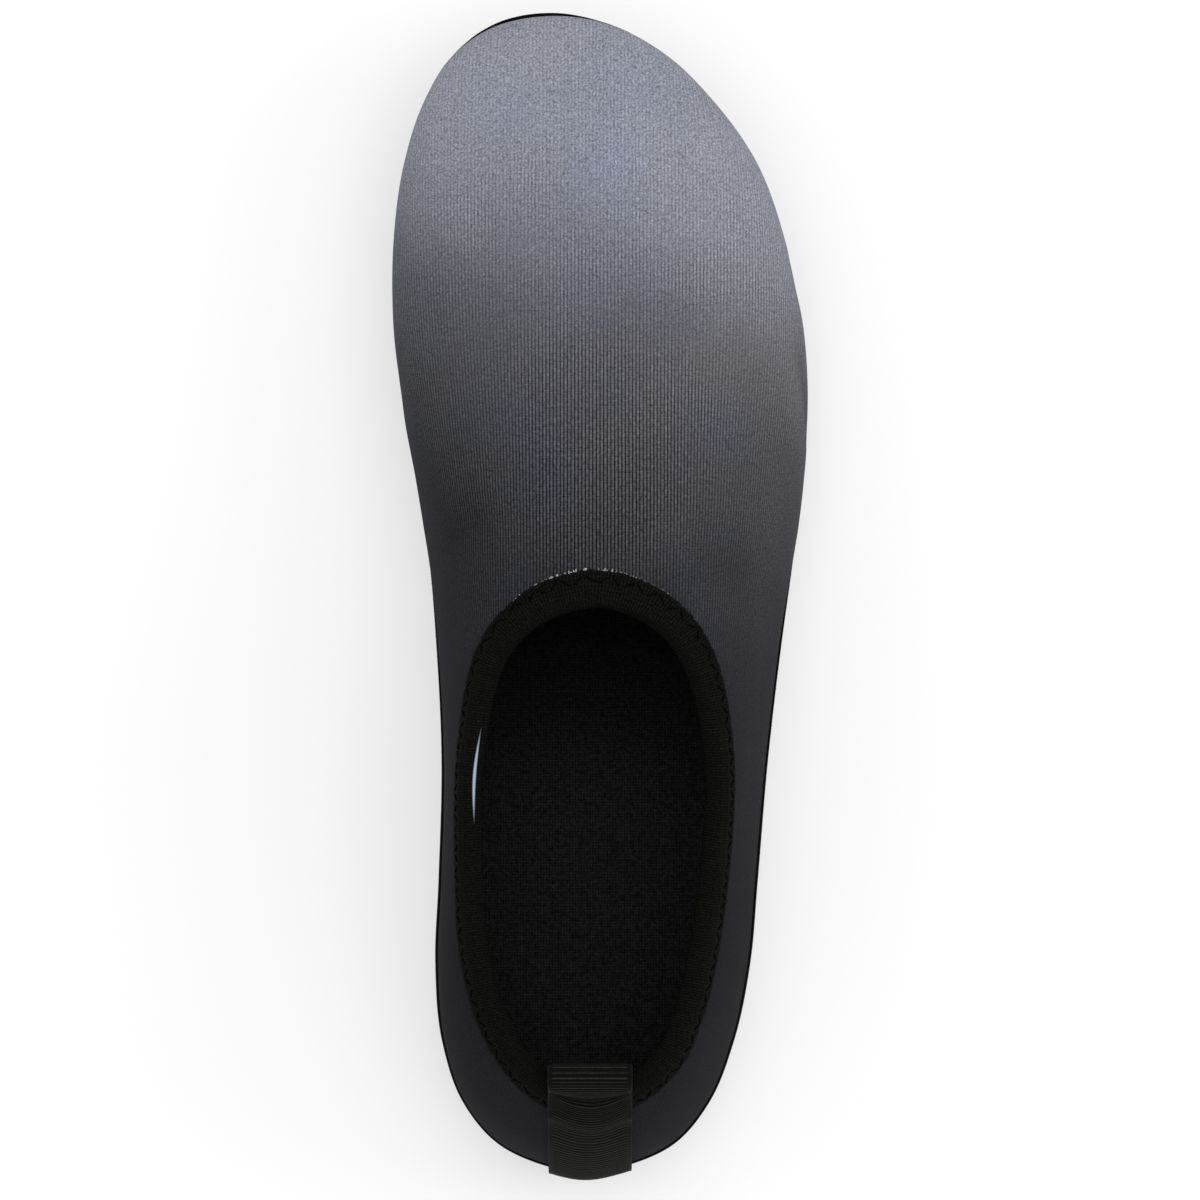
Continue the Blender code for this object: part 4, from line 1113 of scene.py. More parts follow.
def make_collar_tape(last, sizes, looks):
    """Folded tape: at each walked length a U of points, given as the distance down from the
    edge and the offset from the upper's face, with the puckers of the zigzag seam and the
    small step of the tape's own joint at the throat."""
    total = collar_walk(last)[1][-1]
    at = np.linspace(0, total, TAPE_COLUMNS, endpoint=False)
    line, width = binding_line(last, at)
    phase = 2 * np.pi * round(total / sizes.zigzag_pitch) * at / total
    joint = bell((line.points[:, 0] - TAPE_JOINT) / 0.0007) * (line.points[:, 1] > 0)
    wavy = (1 + 0.11 * joint + 0.035 * ragged(len(at), 3, 1)
            + 0.012 * np.sin(3.1 * phase + np.sin(phase / 7)) + 0.008 * np.sin(0.37 * phase))
    outer = CLEARANCE + BINDING_THICKNESS
    inner = -(UPPER_WALL + CLEARANCE + BINDING_THICKNESS)
    rows, marks = [], []

    def row(down, out, depth, fold):
        rows.append(last.offset(*line.below(down), np.broadcast_to(out, at.shape)))
        marks.append((depth * BINDING_WIDTH, fold))

    for share in np.linspace(1.0, 0.16, 15):
        seam = bell((share - 0.72) / 0.13)
        pucker = 0.00010 * seam * (1 + 0.7 * np.cos(phase)) + 0.00005 * np.sin(1.7 * phase)
        crown = 0.00025 * np.sin(np.pi * share) ** 2
        row(width * (1 + (wavy - 1) * share**4) - width * (1 - share),
            outer + CLEARANCE / 2 * (share > 0.3) + crown - pucker, share, 0.0)
    for turn in np.linspace(0, np.pi, 13)[1:-1]:
        row(TAPE_FOLD * (1 - np.sin(turn)),
            (outer + inner) / 2 + (outer - inner) / 2 * np.cos(turn), 0.0, turn / np.pi)
    for share in np.linspace(0.2, 1.0, 9):
        row(BINDING_INNER_WIDTH * share * wavy, inner - CLEARANCE / 2, -share, 1.0)
    for share in (1.0, 0.2):
        row(BINDING_INNER_WIDTH * share * wavy,
            -(UPPER_WALL + CLEARANCE) - CLEARANCE / 2 * share, -share, 1.0)
    for share in (0.16, 1.0):
        row(width * wavy * share, CLEARANCE + CLEARANCE / 2 * share, share, 1.0)
    depth, fold = np.array(marks).T[..., None]
    tape = np.stack(np.broadcast_arrays(at[None], depth, fold), -1)
    add_piece("collar_tape", rows, grid_faces(len(rows), len(at), round_rows=True),
              binding_knit(looks), ["collar_binding"], {"tape": tape})


def make_collar_stitching(last, sizes, looks):
    """Zigzag seam: one short thread for each leg, between two distances below the edge."""
    total = collar_walk(last)[1][-1]
    count = 2 * round(total / sizes.zigzag_pitch)
    legs = np.arange(count)[:, None]
    t = np.linspace(0.04, 0.96, STITCH_STEPS)
    at = ((legs + t) / count * total).ravel()
    swing = np.where(legs % 2 == 0, t, 1 - t).ravel()
    line, width = binding_line(last, np.mod(at, total - NEAR))
    q, u = line.below(width * (ZIGZAG_LOW + (ZIGZAG_HIGH - ZIGZAG_LOW) * swing))
    arch = np.tile(np.sin(np.pi * np.linspace(0, 1, STITCH_STEPS)) ** 0.5, count)
    high = CLEARANCE + BINDING_THICKNESS + STITCH_LIFT + STITCH_ARCH * arch
    paths = last.offset(q, u, high).reshape(count, STITCH_STEPS, 3)
    normals = last.normal(q, u).reshape(count, STITCH_STEPS, 3)
    add_threads("collar_stitching", paths, normals, THREAD,
                thread_finish("collar_thread", looks.thread))


def make_edge_loops(last, sizes, looks):
    """Ends of the wales at the binding's lower edge: small raised loops, palest and longest
    at the throat, and a few pale ones behind."""
    rng = np.random.default_rng(11)
    total = collar_walk(last)[1][-1]
    at = np.arange(0, total, looks.wale_pitch * LOOP_SPACING)
    near = unit(1 - np.minimum(at, total - at) / THROAT_LOOPS)
    at = np.clip(at + rng.normal(0, LOOP_JITTER, len(at)), 0, total - 2 * NEAR)
    line, width = binding_line(last, at)
    long = LOOP_SHORT + LOOP_LONG * near * rng.uniform(0.2, 1.0, len(at))
    t = np.linspace(0, 1, 6)
    places = [line.below(width - 0.0002 + long * share) for share in t]
    high = [LOOP_FOOT + LOOP_RISE * near * np.sin(np.pi * share) ** 0.7 for share in t]
    normals = np.stack([last.normal(q, u) for q, u in places], 1)
    paths = np.stack([last.offset(q, u, h) for (q, u), h in zip(places, high)], 1)
    bright = 0.38 + 0.85 * bell((line.points[:, 0] + 0.0085) / 0.0115)
    pale = rng.uniform(0.25, 1.0, len(at)) ** 1.3 * bright * unit(near * 2.2 - 0.4)
    pale = np.maximum(pale, 0.02 + 0.20 * rng.uniform(0, 1, len(at)) ** 4)
    paths[..., 0] += rng.normal(0, LOOP_TILT, len(at))[:, None] * t
    add_threads("edge_loops", paths, normals, LOOP_THREAD,
                thread_finish("edge_yarn", looks.edge_yarn), pale)


def heel_point(last, x, u, distance):
    """Points at each x across, off the heel's surface at share u up its ribs."""
    q = np.full(np.shape(x), 3.0)
    for _ in range(12):
        rib = last.at(q)
        radius = last.radius(rib, u)
        across = x - last.normal(q, u)[..., 0] * distance - rib["x"]
        q = 2 + np.degrees(np.arccos(np.clip(across / radius, -1, 1))) / 90
    return last.offset(q, u, np.broadcast_to(distance, np.shape(x)))


def pull_path(last, x):
    """Middle surface of the heel pull as a path for each place across: up the heel's back,
    over the binding, round the loop and down inside the collar."""
    half = PULL_THICKNESS / 2
    on_upper = 1.5 * CLEARANCE + half
    over_tape = 2 * CLEARANCE + BINDING_THICKNESS + half
    inside = -(UPPER_WALL + 3 * CLEARANCE + BINDING_THICKNESS + half)
    back = last.collar[last.collar[:, 1] < HEEL_POLE_Y]
    order = np.argsort(back[:, 0])
    y = np.interp(x, back[order, 0], back[order, 1])
    ahead = np.interp(x + NEAR, back[order, 0], back[order, 1])
    outward = np.column_stack([ahead - y, -np.full(len(x), NEAR)])
    outward /= np.linalg.norm(outward, axis=1, keepdims=True)
    line = CollarLine(last, np.column_stack([x, y]), outward)
    q, end = last.locate(line.points)
    _, tape = line.below(BINDING_WIDTH)
    _, down = line.below(PULL_INNER_LENGTH)
    path = [heel_point(last, x, share * tape, on_upper) for share in PULL_ON_UPPER]
    path += [heel_point(last, x, tape + share * (end - tape), over_tape)
             for share in PULL_OVER_TAPE]
    within = [heel_point(last, x, end + share * (down - end), inside) for share in PULL_WITHIN]
    up = last.place(q, end + 0.01) - last.place(q, end - 0.01)
    up = up / np.linalg.norm(up, axis=1, keepdims=True) * PULL_THICKNESS
    middle = last.offset(q, end, np.full(len(x), (over_tape + inside) / 2))
    flat = np.broadcast_to(middle[len(x) // 2], middle.shape)
    lean = np.radians(LOOP_LEAN)
    axis, face = np.array([(0, np.sin(lean), np.cos(lean)), (0, -np.cos(lean), np.sin(lean))])

    def layer(rise, opening, side):
        base = middle + (flat - middle) * min(rise / LOOP_FLATTENS, 1.0)
        return base + axis * rise * LOOP_HEIGHT + face * side * opening * LOOP_HALF_GAP

    path += [path[-1] + up, *[layer(rise, opening, 1) for rise, opening in LOOP]]
    path += [layer(1.0, 0.0, 1), *[layer(rise, opening, -1) for rise, opening in LOOP[::-1]]]
    path = np.array([*path, within[0] + up, *within])
    path[..., 0] = x
    return path


def pull_surface(last, across, count):
    """The pull's path carried to an even walk: points, walked lengths, and the direction
    of its outer face, which is the path's own turned a quarter in the upright plane."""
    path = pull_path(last, PULL_CENTRE + across)
    chord = walk_of(path[:, len(across) // 2])
    at = np.linspace(0, chord[-1], count)
    points = smooth(at, chord, path)
    along = np.gradient(points, axis=0)
    face = np.stack([np.zeros_like(along[..., 0]), along[..., 2], -along[..., 1]], -1)
    return points, at, face / np.linalg.norm(face, axis=-1, keepdims=True)


def rounded(share):
    """Height of a quarter circle at each share of the way in from its edge."""
    return np.sqrt(unit(1 - (1 - unit(share)) ** 2))


def make_heel_webbing(last, sizes, looks):
    """Webbing: its middle surface moved out and in by half its thickness, with a rounded
    cross rib every pitch, finer on the loop, a plain selvedge at each side, and ends and
    sides drawn to. It is pressed in where its sides are sewn and at its foot."""
    half = PULL_WIDTH / 2
    across = half * np.sin(np.linspace(-np.pi / 2, np.pi / 2, 23))
    points, at, face = pull_surface(last, across, WEBBING_ROWS)
    inset = (half - np.abs(across)) / WEBBING_SELVEDGE
    sewn = unit(np.minimum(at, WEBBING_SEWN - at) / 0.003 + 0.6)[:, None]
    press = sewn * SEWN_PRESS * (1 - unit(inset / 2.2)) ** 2
    foot = unit(1 - at / PULL_FOOT)[:, None] ** 2
    points = points - face * np.maximum(press, FOOT_PRESS * foot)[..., None]
    ends = rounded(np.minimum(at, at[-1] - at) / PULL_END)[:, None]
    pitch = looks.webbing_pitch * np.interp(at, *WEBBING_STRETCH)
    phase = np.concatenate([[0.0], np.cumsum(np.diff(at) / pitch[1:])])[:, None]
    plain = unit(inset - 0.6) ** 2
    rib = np.clip(np.cos(2 * np.pi * phase) * 1.3 + 0.2, -1, 1) * plain
    bead = 0.10 * bell((inset - 0.62) / 0.25)
    thick = PULL_THICKNESS / 2 * (0.88 - 0.2 * foot + 0.12 * rib + bead)
    thick = (thick * rounded(inset * 1.1) * ends)[..., None]
    ring = np.concatenate([points + face * thick, (points - face * thick)[:, ::-1]], axis=1)
    weave = np.stack(np.broadcast_arrays(phase, across, np.cos(2 * np.pi * phase) * plain), -1)
    weave = np.concatenate([weave, weave[:, ::-1]], axis=1)
    add_piece("heel_webbing", ring, grid_faces(*ring.shape[:2]), pull_webbing(looks),
              ["heel_pull"], {"weave": weave})


def make_pull_stitching(last, sizes, looks):
    """Two rows of short stitches that hold the webbing's sides to the heel."""
    inset = PULL_WIDTH / 2 - STITCH_INSET
    points, at, face = pull_surface(last, np.linspace(-inset, inset, 9), STITCH_ROWS)
    starts = np.arange(*STITCHED, sizes.stitch_length * 1.28)
    t = np.linspace(starts, starts + sizes.stitch_length, 6, axis=1)
    k = np.clip(np.searchsorted(at, t), 0, len(at) - 1)
    rise = PULL_THICKNESS / 2 + 0.00012 * np.sin(np.pi * np.linspace(0, 1, 6)) ** 0.5
    paths = np.concatenate([points[k, c] + face[k, c] * rise[:, None] for c in (0, 8)])
    normals = np.concatenate([face[k, c] for c in (0, 8)])
    add_threads("pull_stitching", paths, normals, THREAD * 0.9,
                thread_finish("pull_thread", looks.pull_thread))


def rim_of(rib):
    """Place in the plan where each rib meets the outline."""
    return rib["x"] + rib["dx"] * rib["outline"], rib["y"] + rib["dy"] * rib["outline"]


def sole_columns(last):
    """Ribs of the outsole's columns, some for each notch of the outer half at uneven steps
    along the outline, and the same ribs again on the inner half. Then each column's share
    of the way from a notch, 0, to the middle of the pad beside it, 1."""
    rng = np.random.default_rng(4)
    q = np.linspace(0, 3, 1201)
    walked = walk_of(np.column_stack(rim_of(last.at(q))))
    steps = rng.uniform(0.8, 1.2, NOTCHES)
    starts = np.concatenate([[0], steps.cumsum()]) / steps.sum()
    part = np.array(NOTCH_COLUMNS)
    share = (starts[:-1, None] + steps[:, None] / steps.sum() * part).ravel()
    outer = np.interp(share * walked[-1], walked, q)
    arch = np.tile(np.abs(part - 0.5) * 2, NOTCHES)
    return (np.concatenate([outer, [3.0], 6 - outer[:0:-1]]),
            np.concatenate([arch, [1.0], arch[:0:-1]]))


def sole_heights(rib):
    """Rim, rand top and rand border of each rib."""
    _, y = rim_of(rib)
    rand_top = rib["foot"] - SEAM_BAND_HEIGHT - 2 * CLEARANCE
    border = underside(y) + SIDEWALL_HEIGHT * column(SIDES, 2, y)
    rim = rib["outline"] - EDGE_STEP * unit(2 * rib["stands_out"] - 1)
    return rim, rand_top, border


def ring_at(rib, radius, height=None, lift=0.0):
    """Ring of points at a radius from the spine, at a height or above the underside."""
    plan = np.stack([rib["x"] + rib["dx"] * radius, rib["y"] + rib["dy"] * radius], -1)
    z = underside(plan[:, 1]) + lift if height is None else np.broadcast_to(height, len(plan))
    return np.column_stack([plan, z])


def border_pads(y, walked, arch):
    """Depth share of the dark lines round the border's pads: a scallop under each pad, and
    a gap between two pads that widens downwards."""
    tall = PAD_HEIGHT * (0.9 + 0.2 * np.sin(y / 0.0043))
    foot = tall * (1 - (1 - arch) ** 2.6)
    scallop = unit(1.2 - np.abs(walked - foot - 0.00018) / 0.00026)
    wide = 0.00022 + 0.00075 * walked / PAD_HEIGHT
    gap = unit(1.6 - arch * PAD_HALF / wide) * (walked < tall * 1.15)
    plain = np.clip((0.100 - y) / 0.012, 0.15, 1)
    below = unit((walked - foot - 0.0005) / 0.0003)
    return np.maximum(scallop, gap) * plain, below


def meeting_walk(rib, q, walked):
    """Walk in from the border, eased so that both sides agree where they meet on the spine:
    rounded off over the last few millimetres and brought to the mean of the two."""
    whole = walked[-1]
    outer, inner = (q >= 1) & (q <= 2), (q >= 4) & (q <= 5)
    mean = (np.interp(rib["y"], rib["y"][outer][::-1], whole[outer][::-1])
            + np.interp(rib["y"], rib["y"][inner], whole[inner])) / 2
    left = whole - walked
    near = unit(1 - left / MEETING_REACH) ** 2
    rounded_off = whole - np.hypot(left, MEETING_ROUNDING) + MEETING_ROUNDING
    return rounded_off + (mean - whole - MEETING_ROUNDING) * near


def tread_groove(points, walked, met, arch):
    """Depth share of the tread's grooves: the lines round the border's pads, and long lines
    at an even distance in from the border, swung by slow waves and round the knots, each
    broken here and there."""
    x, y = points[..., 0], points[..., 1]
    pads, below = border_pads(y, walked, arch)
    within = np.clip(met - TREAD_EDGE, 0, None)
    phase = (met - within) / TREAD_PITCH + within / TREAD_PITCH_WITHIN
    phase = phase + 0.75 * np.sin(2 * np.pi * y / 0.047 + 1.5 * np.sin(2 * np.pi * x / 0.07))
    phase = phase + 0.40 * np.sin(2 * np.pi * y / 0.017 + x / 0.011 + 1.0)
    phase = phase + 0.16 * np.sin(2 * np.pi * y / 0.0071 + x / 0.006)
    for knot_x, knot_y, size in KNOTS:
        away = (x - knot_x) ** 2 + ((y - knot_y) * 0.6) ** 2
        phase = phase + 2.6 * np.exp(-away / size**2)
    line = np.floor(phase + 0.5)
    open_part = np.sin(2 * np.pi * y / 0.021 + 2.4 * line + x / 0.02)
    kept = unit((open_part + 0.55) / 0.5)
    groove = unit((np.cos(2 * np.pi * phase) - 0.05) / 0.8)
    lines = groove * kept * (0.7 + 0.3 * np.sin(1.7 * line + y / 0.013))
    return np.maximum(lines * below, pads)


def flex_cut_depth(points, walked):
    """Depth share of the flex cuts: a V about each cut's line, which runs out below the
    border."""
    depth = np.zeros(points.shape[:-1])
    for station, turn in FLEX_CUTS:
        y, angle = (station - 0.5) * SHOE_LENGTH, np.radians(turn)
        off = (points[..., 1] - y) * np.cos(angle) - points[..., 0] * np.sin(angle)
        depth = np.maximum(depth, unit(1 - np.abs(off) / (FLEX_CUT_WIDTH / 2)))
    return depth * unit((walked - CUT_START) / CUT_RUNOUT)


def sole_profile(rib):
    """Rings of the cup sole, and the number of the one where the tread starts: inside from
    the middle of the floor up to the rand's top, down the hollow rand to its border, round
    the tread's edge by a quadratic curve and in under the sole."""
    rim, rand_top, border = sole_heights(rib)
    inner, rand = rim - RAND_THICKNESS, rand_top - border
    rows = [ring_at(rib, share * (inner - FLOOR_FILLET), lift=PLATE_THICKNESS)
            for share in (0.0, 0.3, 0.6, 0.85, 1.0)]
    rows += [ring_at(rib, inner - FLOOR_FILLET / 3, lift=PLATE_THICKNESS + FLOOR_FILLET / 3),
             ring_at(rib, inner, rand_top - TOP_EASE), ring_at(rib, inner + 0.0003, rand_top),
             ring_at(rib, rim - 3 * TOP_EASE, rand_top),
             ring_at(rib, rim - TOP_EASE, rand_top - TOP_EASE)]
    for t in np.linspace(0.10, 0.98, 11):
        hollow = RAND_HOLLOW * np.sin(np.pi * (t - 0.1) / 0.9)
        rows.append(ring_at(rib, rim - hollow, rand_top - t * rand))
    rows += [ring_at(rib, rim - 0.00005, border + 0.00012),
             ring_at(rib, rim - BORDER_STEP, border)]
    start = len(rows) - 1
    low = underside(rib["y"] + rib["dy"] * (rim - TREAD_ROUNDING))
    top = np.stack([rim - BORDER_STEP, border])
    foot = np.stack([rim - TREAD_ROUNDING, low])
    mid = np.stack([rim - TREAD_SHOULDER * 0.8, low + SHOULDER_HEIGHT * (border - low)])
    handle = 2 * mid - (top + foot) / 2
    for t in np.linspace(0, 1, 35)[1:] ** 1.25:
        curve = (1 - t) ** 2 * top + 2 * t * (1 - t) * handle + t * t * foot
        rows.append(ring_at(rib, *curve))
    rows += [ring_at(rib, (1 - t) * (rim - TREAD_ROUNDING))
             for t in np.linspace(0, 1, 62)[1:] ** 1.25]
    return np.array(rows), start


def profile_normal(rib, tread):
    """Outward direction of the tread in each rib's own upright plane."""
    along = np.gradient(tread, axis=0)
    way = np.stack([rib["dx"], rib["dy"]], -1)
    inward, fall = (along[..., :2] * way).sum(-1), along[..., 2]
    size = np.maximum(np.hypot(inward, fall), 1e-9)
    out = np.concatenate([way * (-fall / size)[..., None], (inward / size)[..., None]], -1)
    out[-1] = (0, 0, -1)
    return out


def make_rubber_sole(last, sizes, looks):
    """Cup sole: the profile's rings, and the grooves and flex cuts as a depth by which the
    tread's points go in along the profile's own normal."""
    q, arch = sole_columns(last)
    rib = last.measure(q)
    points, start = sole_profile(rib)
    tread = points[start:]
    walked = walk_of(tread)
    met = np.where(walked < 0.006, walked, meeting_walk(rib, q, walked))
    share = np.maximum(tread_groove(tread, walked, met, arch) * unit(walked / 0.0002), 0)
    depth = np.maximum(share * TREAD_DEPTH, flex_cut_depth(tread, walked) * FLEX_CUT_DEPTH)
    points[start:] = tread - profile_normal(rib, tread) * depth[..., None]
    # Painted shading: dark in the grooves, notches and flex cuts, on the border line and on
    # the rand's top under the felt
    shown = np.zeros(points.shape[:-1])
    shown[start:] = np.minimum(depth / TREAD_DEPTH * 1.6 - 0.45, 1.0)
    shown[start] = 0.30
    shown[6:10], shown[10] = 0.70, 0.20
    add_piece("rubber_sole", points, grid_faces(*points.shape[:2]), outsole_rubber(looks),
              ["outsole"], {"relief": shown})


def seam_rings(last, q):
    """Inner and outer radius, low and high edge of the seam band at each rib."""
    rib = last.measure(q)
    rim, rand_top, _ = sole_heights(rib)
    radius = last.radius(rib, 0.0)
    outer = np.clip(radius + SEAM_BAND_PROUD, rim - SEAM_BAND_PROUD, rib["outline"])
    low, high = rand_top + CLEARANCE / 3, rib["foot"] - CLEARANCE / 3
    return rib, radius - UPPER_WALL, outer, low, high


def felt_reach(rib):
    """How far the felt comes up over the knit: most round the toe, a little at the heel."""
    return np.interp(station_of(rim_of(rib)[1]), [0.0, 0.25, 0.50, 0.62, 0.75, 1.0],
                     [0.0006, 0.0003, 0.0002, 0.0005, 0.0010, 0.0011])


def make_felt_seam(last, sizes, looks):
    """Felt ring: a rounded outer face with small waves in and out along its length, which
    comes up over the knit, most at the toe's tip."""
    q = sole_columns(last)[0]
    rib, inner, outer, low, high = seam_rings(last, q)
    uneven = FELT_WAVE * ragged(len(inner), 7, 1) + FELT_WAVE * ragged(len(inner), 8, 3)
    x, y = rim_of(rib)
    toe = unit((y - 0.095) / 0.025)
    tip = bell((x + 0.014) / 0.013) * (y > 0.1)
    rows = [ring_at(rib, inner, low)]
    for t in np.linspace(0, 1, 7):
        bulge = FELT_BULGE * (toe - 1) + (FELT_BULGE + uneven) * np.sin(np.pi * t)
        rows.append(ring_at(rib, outer + bulge, low + t * (high - low)))
    over = felt_reach(rib) * (1 + 1500 * uneven + 0.9 * tip)
    up = over / (3 * rib["rise"] * (rib["crest"] - rib["drop"] - rib["foot"]))
    for t, lift in ((0.35, 0.00034), (0.7, 0.00036), (0.95, 0.00026), (1.05, 0.0001)):
        rows.append(last.offset(q, up * t, lift * (1 + 1.3 * tip)))
    rows.append(last.offset(q, up * 0.9, np.full(len(q), -UPPER_WALL / 3)))
    rows.append(ring_at(rib, inner, high))
    add_piece("felt_seam", rows, grid_faces(len(rows), len(inner), round_rows=True),
              seam_felt(looks), ["seam_band"])


def make_seam_fuzz(last, sizes, looks):
    """Loose fibres of the felt: thin blades from its outer face, out and to either side."""
    rng = np.random.default_rng(5)
    rib, _, outer, low, high = seam_rings(last, sole_columns(last)[0])
    count = FUZZ_COUNT
    k = rng.integers(0, len(outer), count)
    t = rng.uniform(0.1, 0.9, count)
    tall = high + felt_reach(rib) - low
    root = ring_at({n: v[k] for n, v in rib.items()}, outer[k] - 0.0001, low[k] + t * tall[k])
    way = np.column_stack([rib["dx"][k], rib["dy"][k], np.zeros(count)])
    side = np.column_stack([-way[:, 1], way[:, 0], np.zeros(count)])
    long = sizes.fuzz_length * rng.uniform(0.3, 1.0, count)[:, None]
    lean = rng.normal(0, 0.9, count)[:, None]
    rise = rng.normal(0.15, 0.7, count)[:, None] * np.array([[0, 0, 1.0]])
    tip = root + long * (way * 0.35 + side * lean + rise) / np.sqrt(1.4 + lean**2)
    bend = (root + tip) / 2 + long * 0.12 * rng.normal(0, 1, (count, 3))
    thin = FUZZ_THICKNESS * (side + np.array([[0, 0, 1.0]]))
    points = np.stack([root - thin, root + thin, bend + thin, bend - thin,
                       tip - thin / 3, tip + thin / 3], 1)
    one = np.array([(0, 1, 2, 3), (3, 2, 5, 4)])
    faces = (one[None] + (np.arange(count) * 6)[:, None, None]).reshape(-1, 4)
    add_piece("seam_fuzz", points, faces, seam_felt(looks), closed=False)


def make_mesh_insole(last, sizes, looks):
    """Footbed: rings from the middle of its underside round its soft edge and back in over
    the top, which dips a little under heel and ball."""
    rib = last.measure(sole_columns(last)[0][::2])
    rim, _, _ = sole_heights(rib)
    edge = rim - RAND_THICKNESS - FLOOR_FILLET - CLEARANCE
    low = PLATE_THICKNESS + CLEARANCE
    high = low + INSOLE_THICKNESS
    rows = [ring_at(rib, share * edge, lift=low) for share in (0.0, 0.5, 1.0)]
    for turn in np.linspace(0, np.pi / 2, 5):
        rows.append(ring_at(rib, edge - INSOLE_EDGE * (1 - np.cos(turn)),
                            lift=high - INSOLE_EDGE * (1 - np.sin(turn))))
    for share in np.linspace(1, 0, 26)[1:]:
        ring = ring_at(rib, share * (edge - INSOLE_EDGE), lift=high)
        heel = bell((ring[:, 1] + 0.088) / 0.030) * bell(ring[:, 0] / 0.020)
        ball = bell((ring[:, 1] - 0.050) / 0.034) * bell(ring[:, 0] / 0.030)
        ring[:, 2] -= HEEL_DIP * heel + BALL_DIP * ball
        rows.append(ring)
    add_piece("mesh_insole", rows, grid_faces(len(rows), len(edge)), insole_cloth(looks),
              ["insole"])


# --- Stage


def quaternion_to(aim):
    """Rotation that turns a light's own downward axis to the aim."""
    aim = aim / np.linalg.norm(aim)
    down = np.array([0.0, 0.0, -1.0])
    turn = np.concatenate([[1.0 + down @ aim], np.cross(down, aim)])
    return turn / np.linalg.norm(turn)


def make_stage(last, sizes, looks):
    """Pale floor, a soft light on each side and one above, and a camera straight over the
    shoe, toe up in the picture."""
    scene = bpy.context.scene
    stage = scene.water_shoe_stage
    ends = (-FLOOR_SIZE, FLOOR_SIZE)
    corners = [(x, y, 0.0) for y in ends for x in ends]
    mesh = bpy.data.meshes.new("floor")
    mesh.from_pydata(corners, [], [(0, 1, 3, 2)])
    mesh.materials.append(pale_floor(looks))
    add_object("floor", mesh, (0.0, 0.0, -FLOOR_GAP))
    scene.world = bpy.data.worlds.new("studio")
    scene.world.use_nodes = True
    sky = scene.world.node_tree.nodes["Background"].inputs
    sky["Color"].default_value = (1.0, 1.0, 1.0, 1.0)
    sky["Strength"].default_value = stage.sky
    for name, place, wide, power in (
        ("softbox_above", (0.10, 0.25, 1.30), 1.1, stage.above),
        ("softbox_outer", (1.10, 0.10, 0.70), 0.8, stage.outer),
        ("softbox_inner", (-1.00, 0.30, 0.90), 0.8, stage.inner),
    ):
        data = bpy.data.lights.new(name, "AREA")
        data.shape = "DISK"
        data.size = wide
        data.energy = power
        light = add_object(name, data, place)
        light.rotation_mode = "QUATERNION"
        light.rotation_quaternion = quaternion_to(-np.array(place))
    data = bpy.data.cameras.new("camera")
    data.sensor_width = 36.0
    data.lens = data.sensor_width * (stage.camera_height - 0.015) / stage.frame_width
    data.clip_end = 20.0
    scene.camera = add_object("camera", data, (0.0, 0.0, stage.camera_height))
    scene.view_settings.view_transform = "Standard"


# --- Settings, operators and panel


def length(name, words, default):
    return FloatProperty(name=name, description=words, default=default, min=0.0, soft_max=1.0,
                         precision=5, unit="LENGTH", subtype="DISTANCE")


def colour(name, words, default):
    return FloatVectorProperty(name=name, description=words, default=default, size=3, min=0.0,
                               max=1.0, subtype="COLOR")


def share(name, words, default, low=0.0):
    return FloatProperty(name=name, description=words, default=default, min=low, max=3.0,
                         subtype="FACTOR")


def power(name, words, default):
    return FloatProperty(name=name, description=words, default=default, min=0.0, unit="POWER")


class WaterShoeSizes(PropertyGroup):
    """Sizes that a user would change"""

    zigzag_pitch: length("Zigzag pitch", "Length of one zig and one zag", 0.0045)
    stitch_length: length("Stitch length", "Length of a stitch of the heel pull", 0.0019)
    fuzz_length: length("Fuzz length", "Length of the seam's longest fibres", 0.0011)
    fold_depth: share("Fold depth", "Share of the knit's soft folds", 1.5)


class WaterShoeLooks(PropertyGroup):
    """Colours and fine patterns that a user would change"""

    knit_toe: colour("Knit at the toe", "Light end of the fade", (0.208, 0.215, 0.252))
    knit_heel: colour("Knit at the heel", "Dark end of the fade", (0.0088, 0.0085, 0.0104))
    lining: colour("Lining", "Inside of the upper", (0.002, 0.002, 0.002))
    binding: colour("Binding", "Tape round the collar", (0.0034, 0.0034, 0.0028))
    # Colour of the painted highlight on the tape's fold
    fold_highlight: colour("Fold sliver", "Pale sliver on the fold", (0.34, 0.39, 0.48))
    thread: colour("Collar thread", "Zigzag seam", (0.0010, 0.0010, 0.0009))
    edge_yarn: colour("Edge yarn", "Wale ends at the throat", (0.36, 0.36, 0.38))
    webbing: colour("Webbing", "Heel pull", (0.0056, 0.0054, 0.0045))
    pull_thread: colour("Pull thread", "Stitches of the heel pull", (0.0130, 0.0125, 0.0105))
    felt: colour("Felt", "Seam between upper and sole", (0.0030, 0.0030, 0.0030))
    rubber: colour("Rubber", "Outsole", (0.0105, 0.0105, 0.0094))
    insole: colour("Insole", "Footbed cloth", (0.0110, 0.0110, 0.0112))
    floor: colour("Floor", "Pale sweep", (0.48, 0.48, 0.48))
    floor_glow: share("Floor glow", "Light of the sweep itself", 0.46)
    fade_lean: share("Fade lean", "How far the fade leans to the outer side", 0.30, -2.0)
    # Strength of the painted light on the folds' ridges and painted shade in their troughs
    fold_contrast: share("Fold contrast", "How much lighter a fold's ridge is", 0.30)
    # Strength of the painted shade between the knit's wales
    wale_contrast: share("Wale contrast", "How much lighter a wale is than its gap", 1.6)
    wale_pitch: length("Wale pitch", "Width of one wale of the knit", 0.0008)
    course_pitch: length("Course pitch", "Length of one stitch of the knit", 0.0006)
    webbing_pitch: length("Webbing rib pitch", "Length of one cross rib", 0.0014)
    mesh_pitch: length("Mesh pitch", "Distance of the insole's holes", 0.0013)


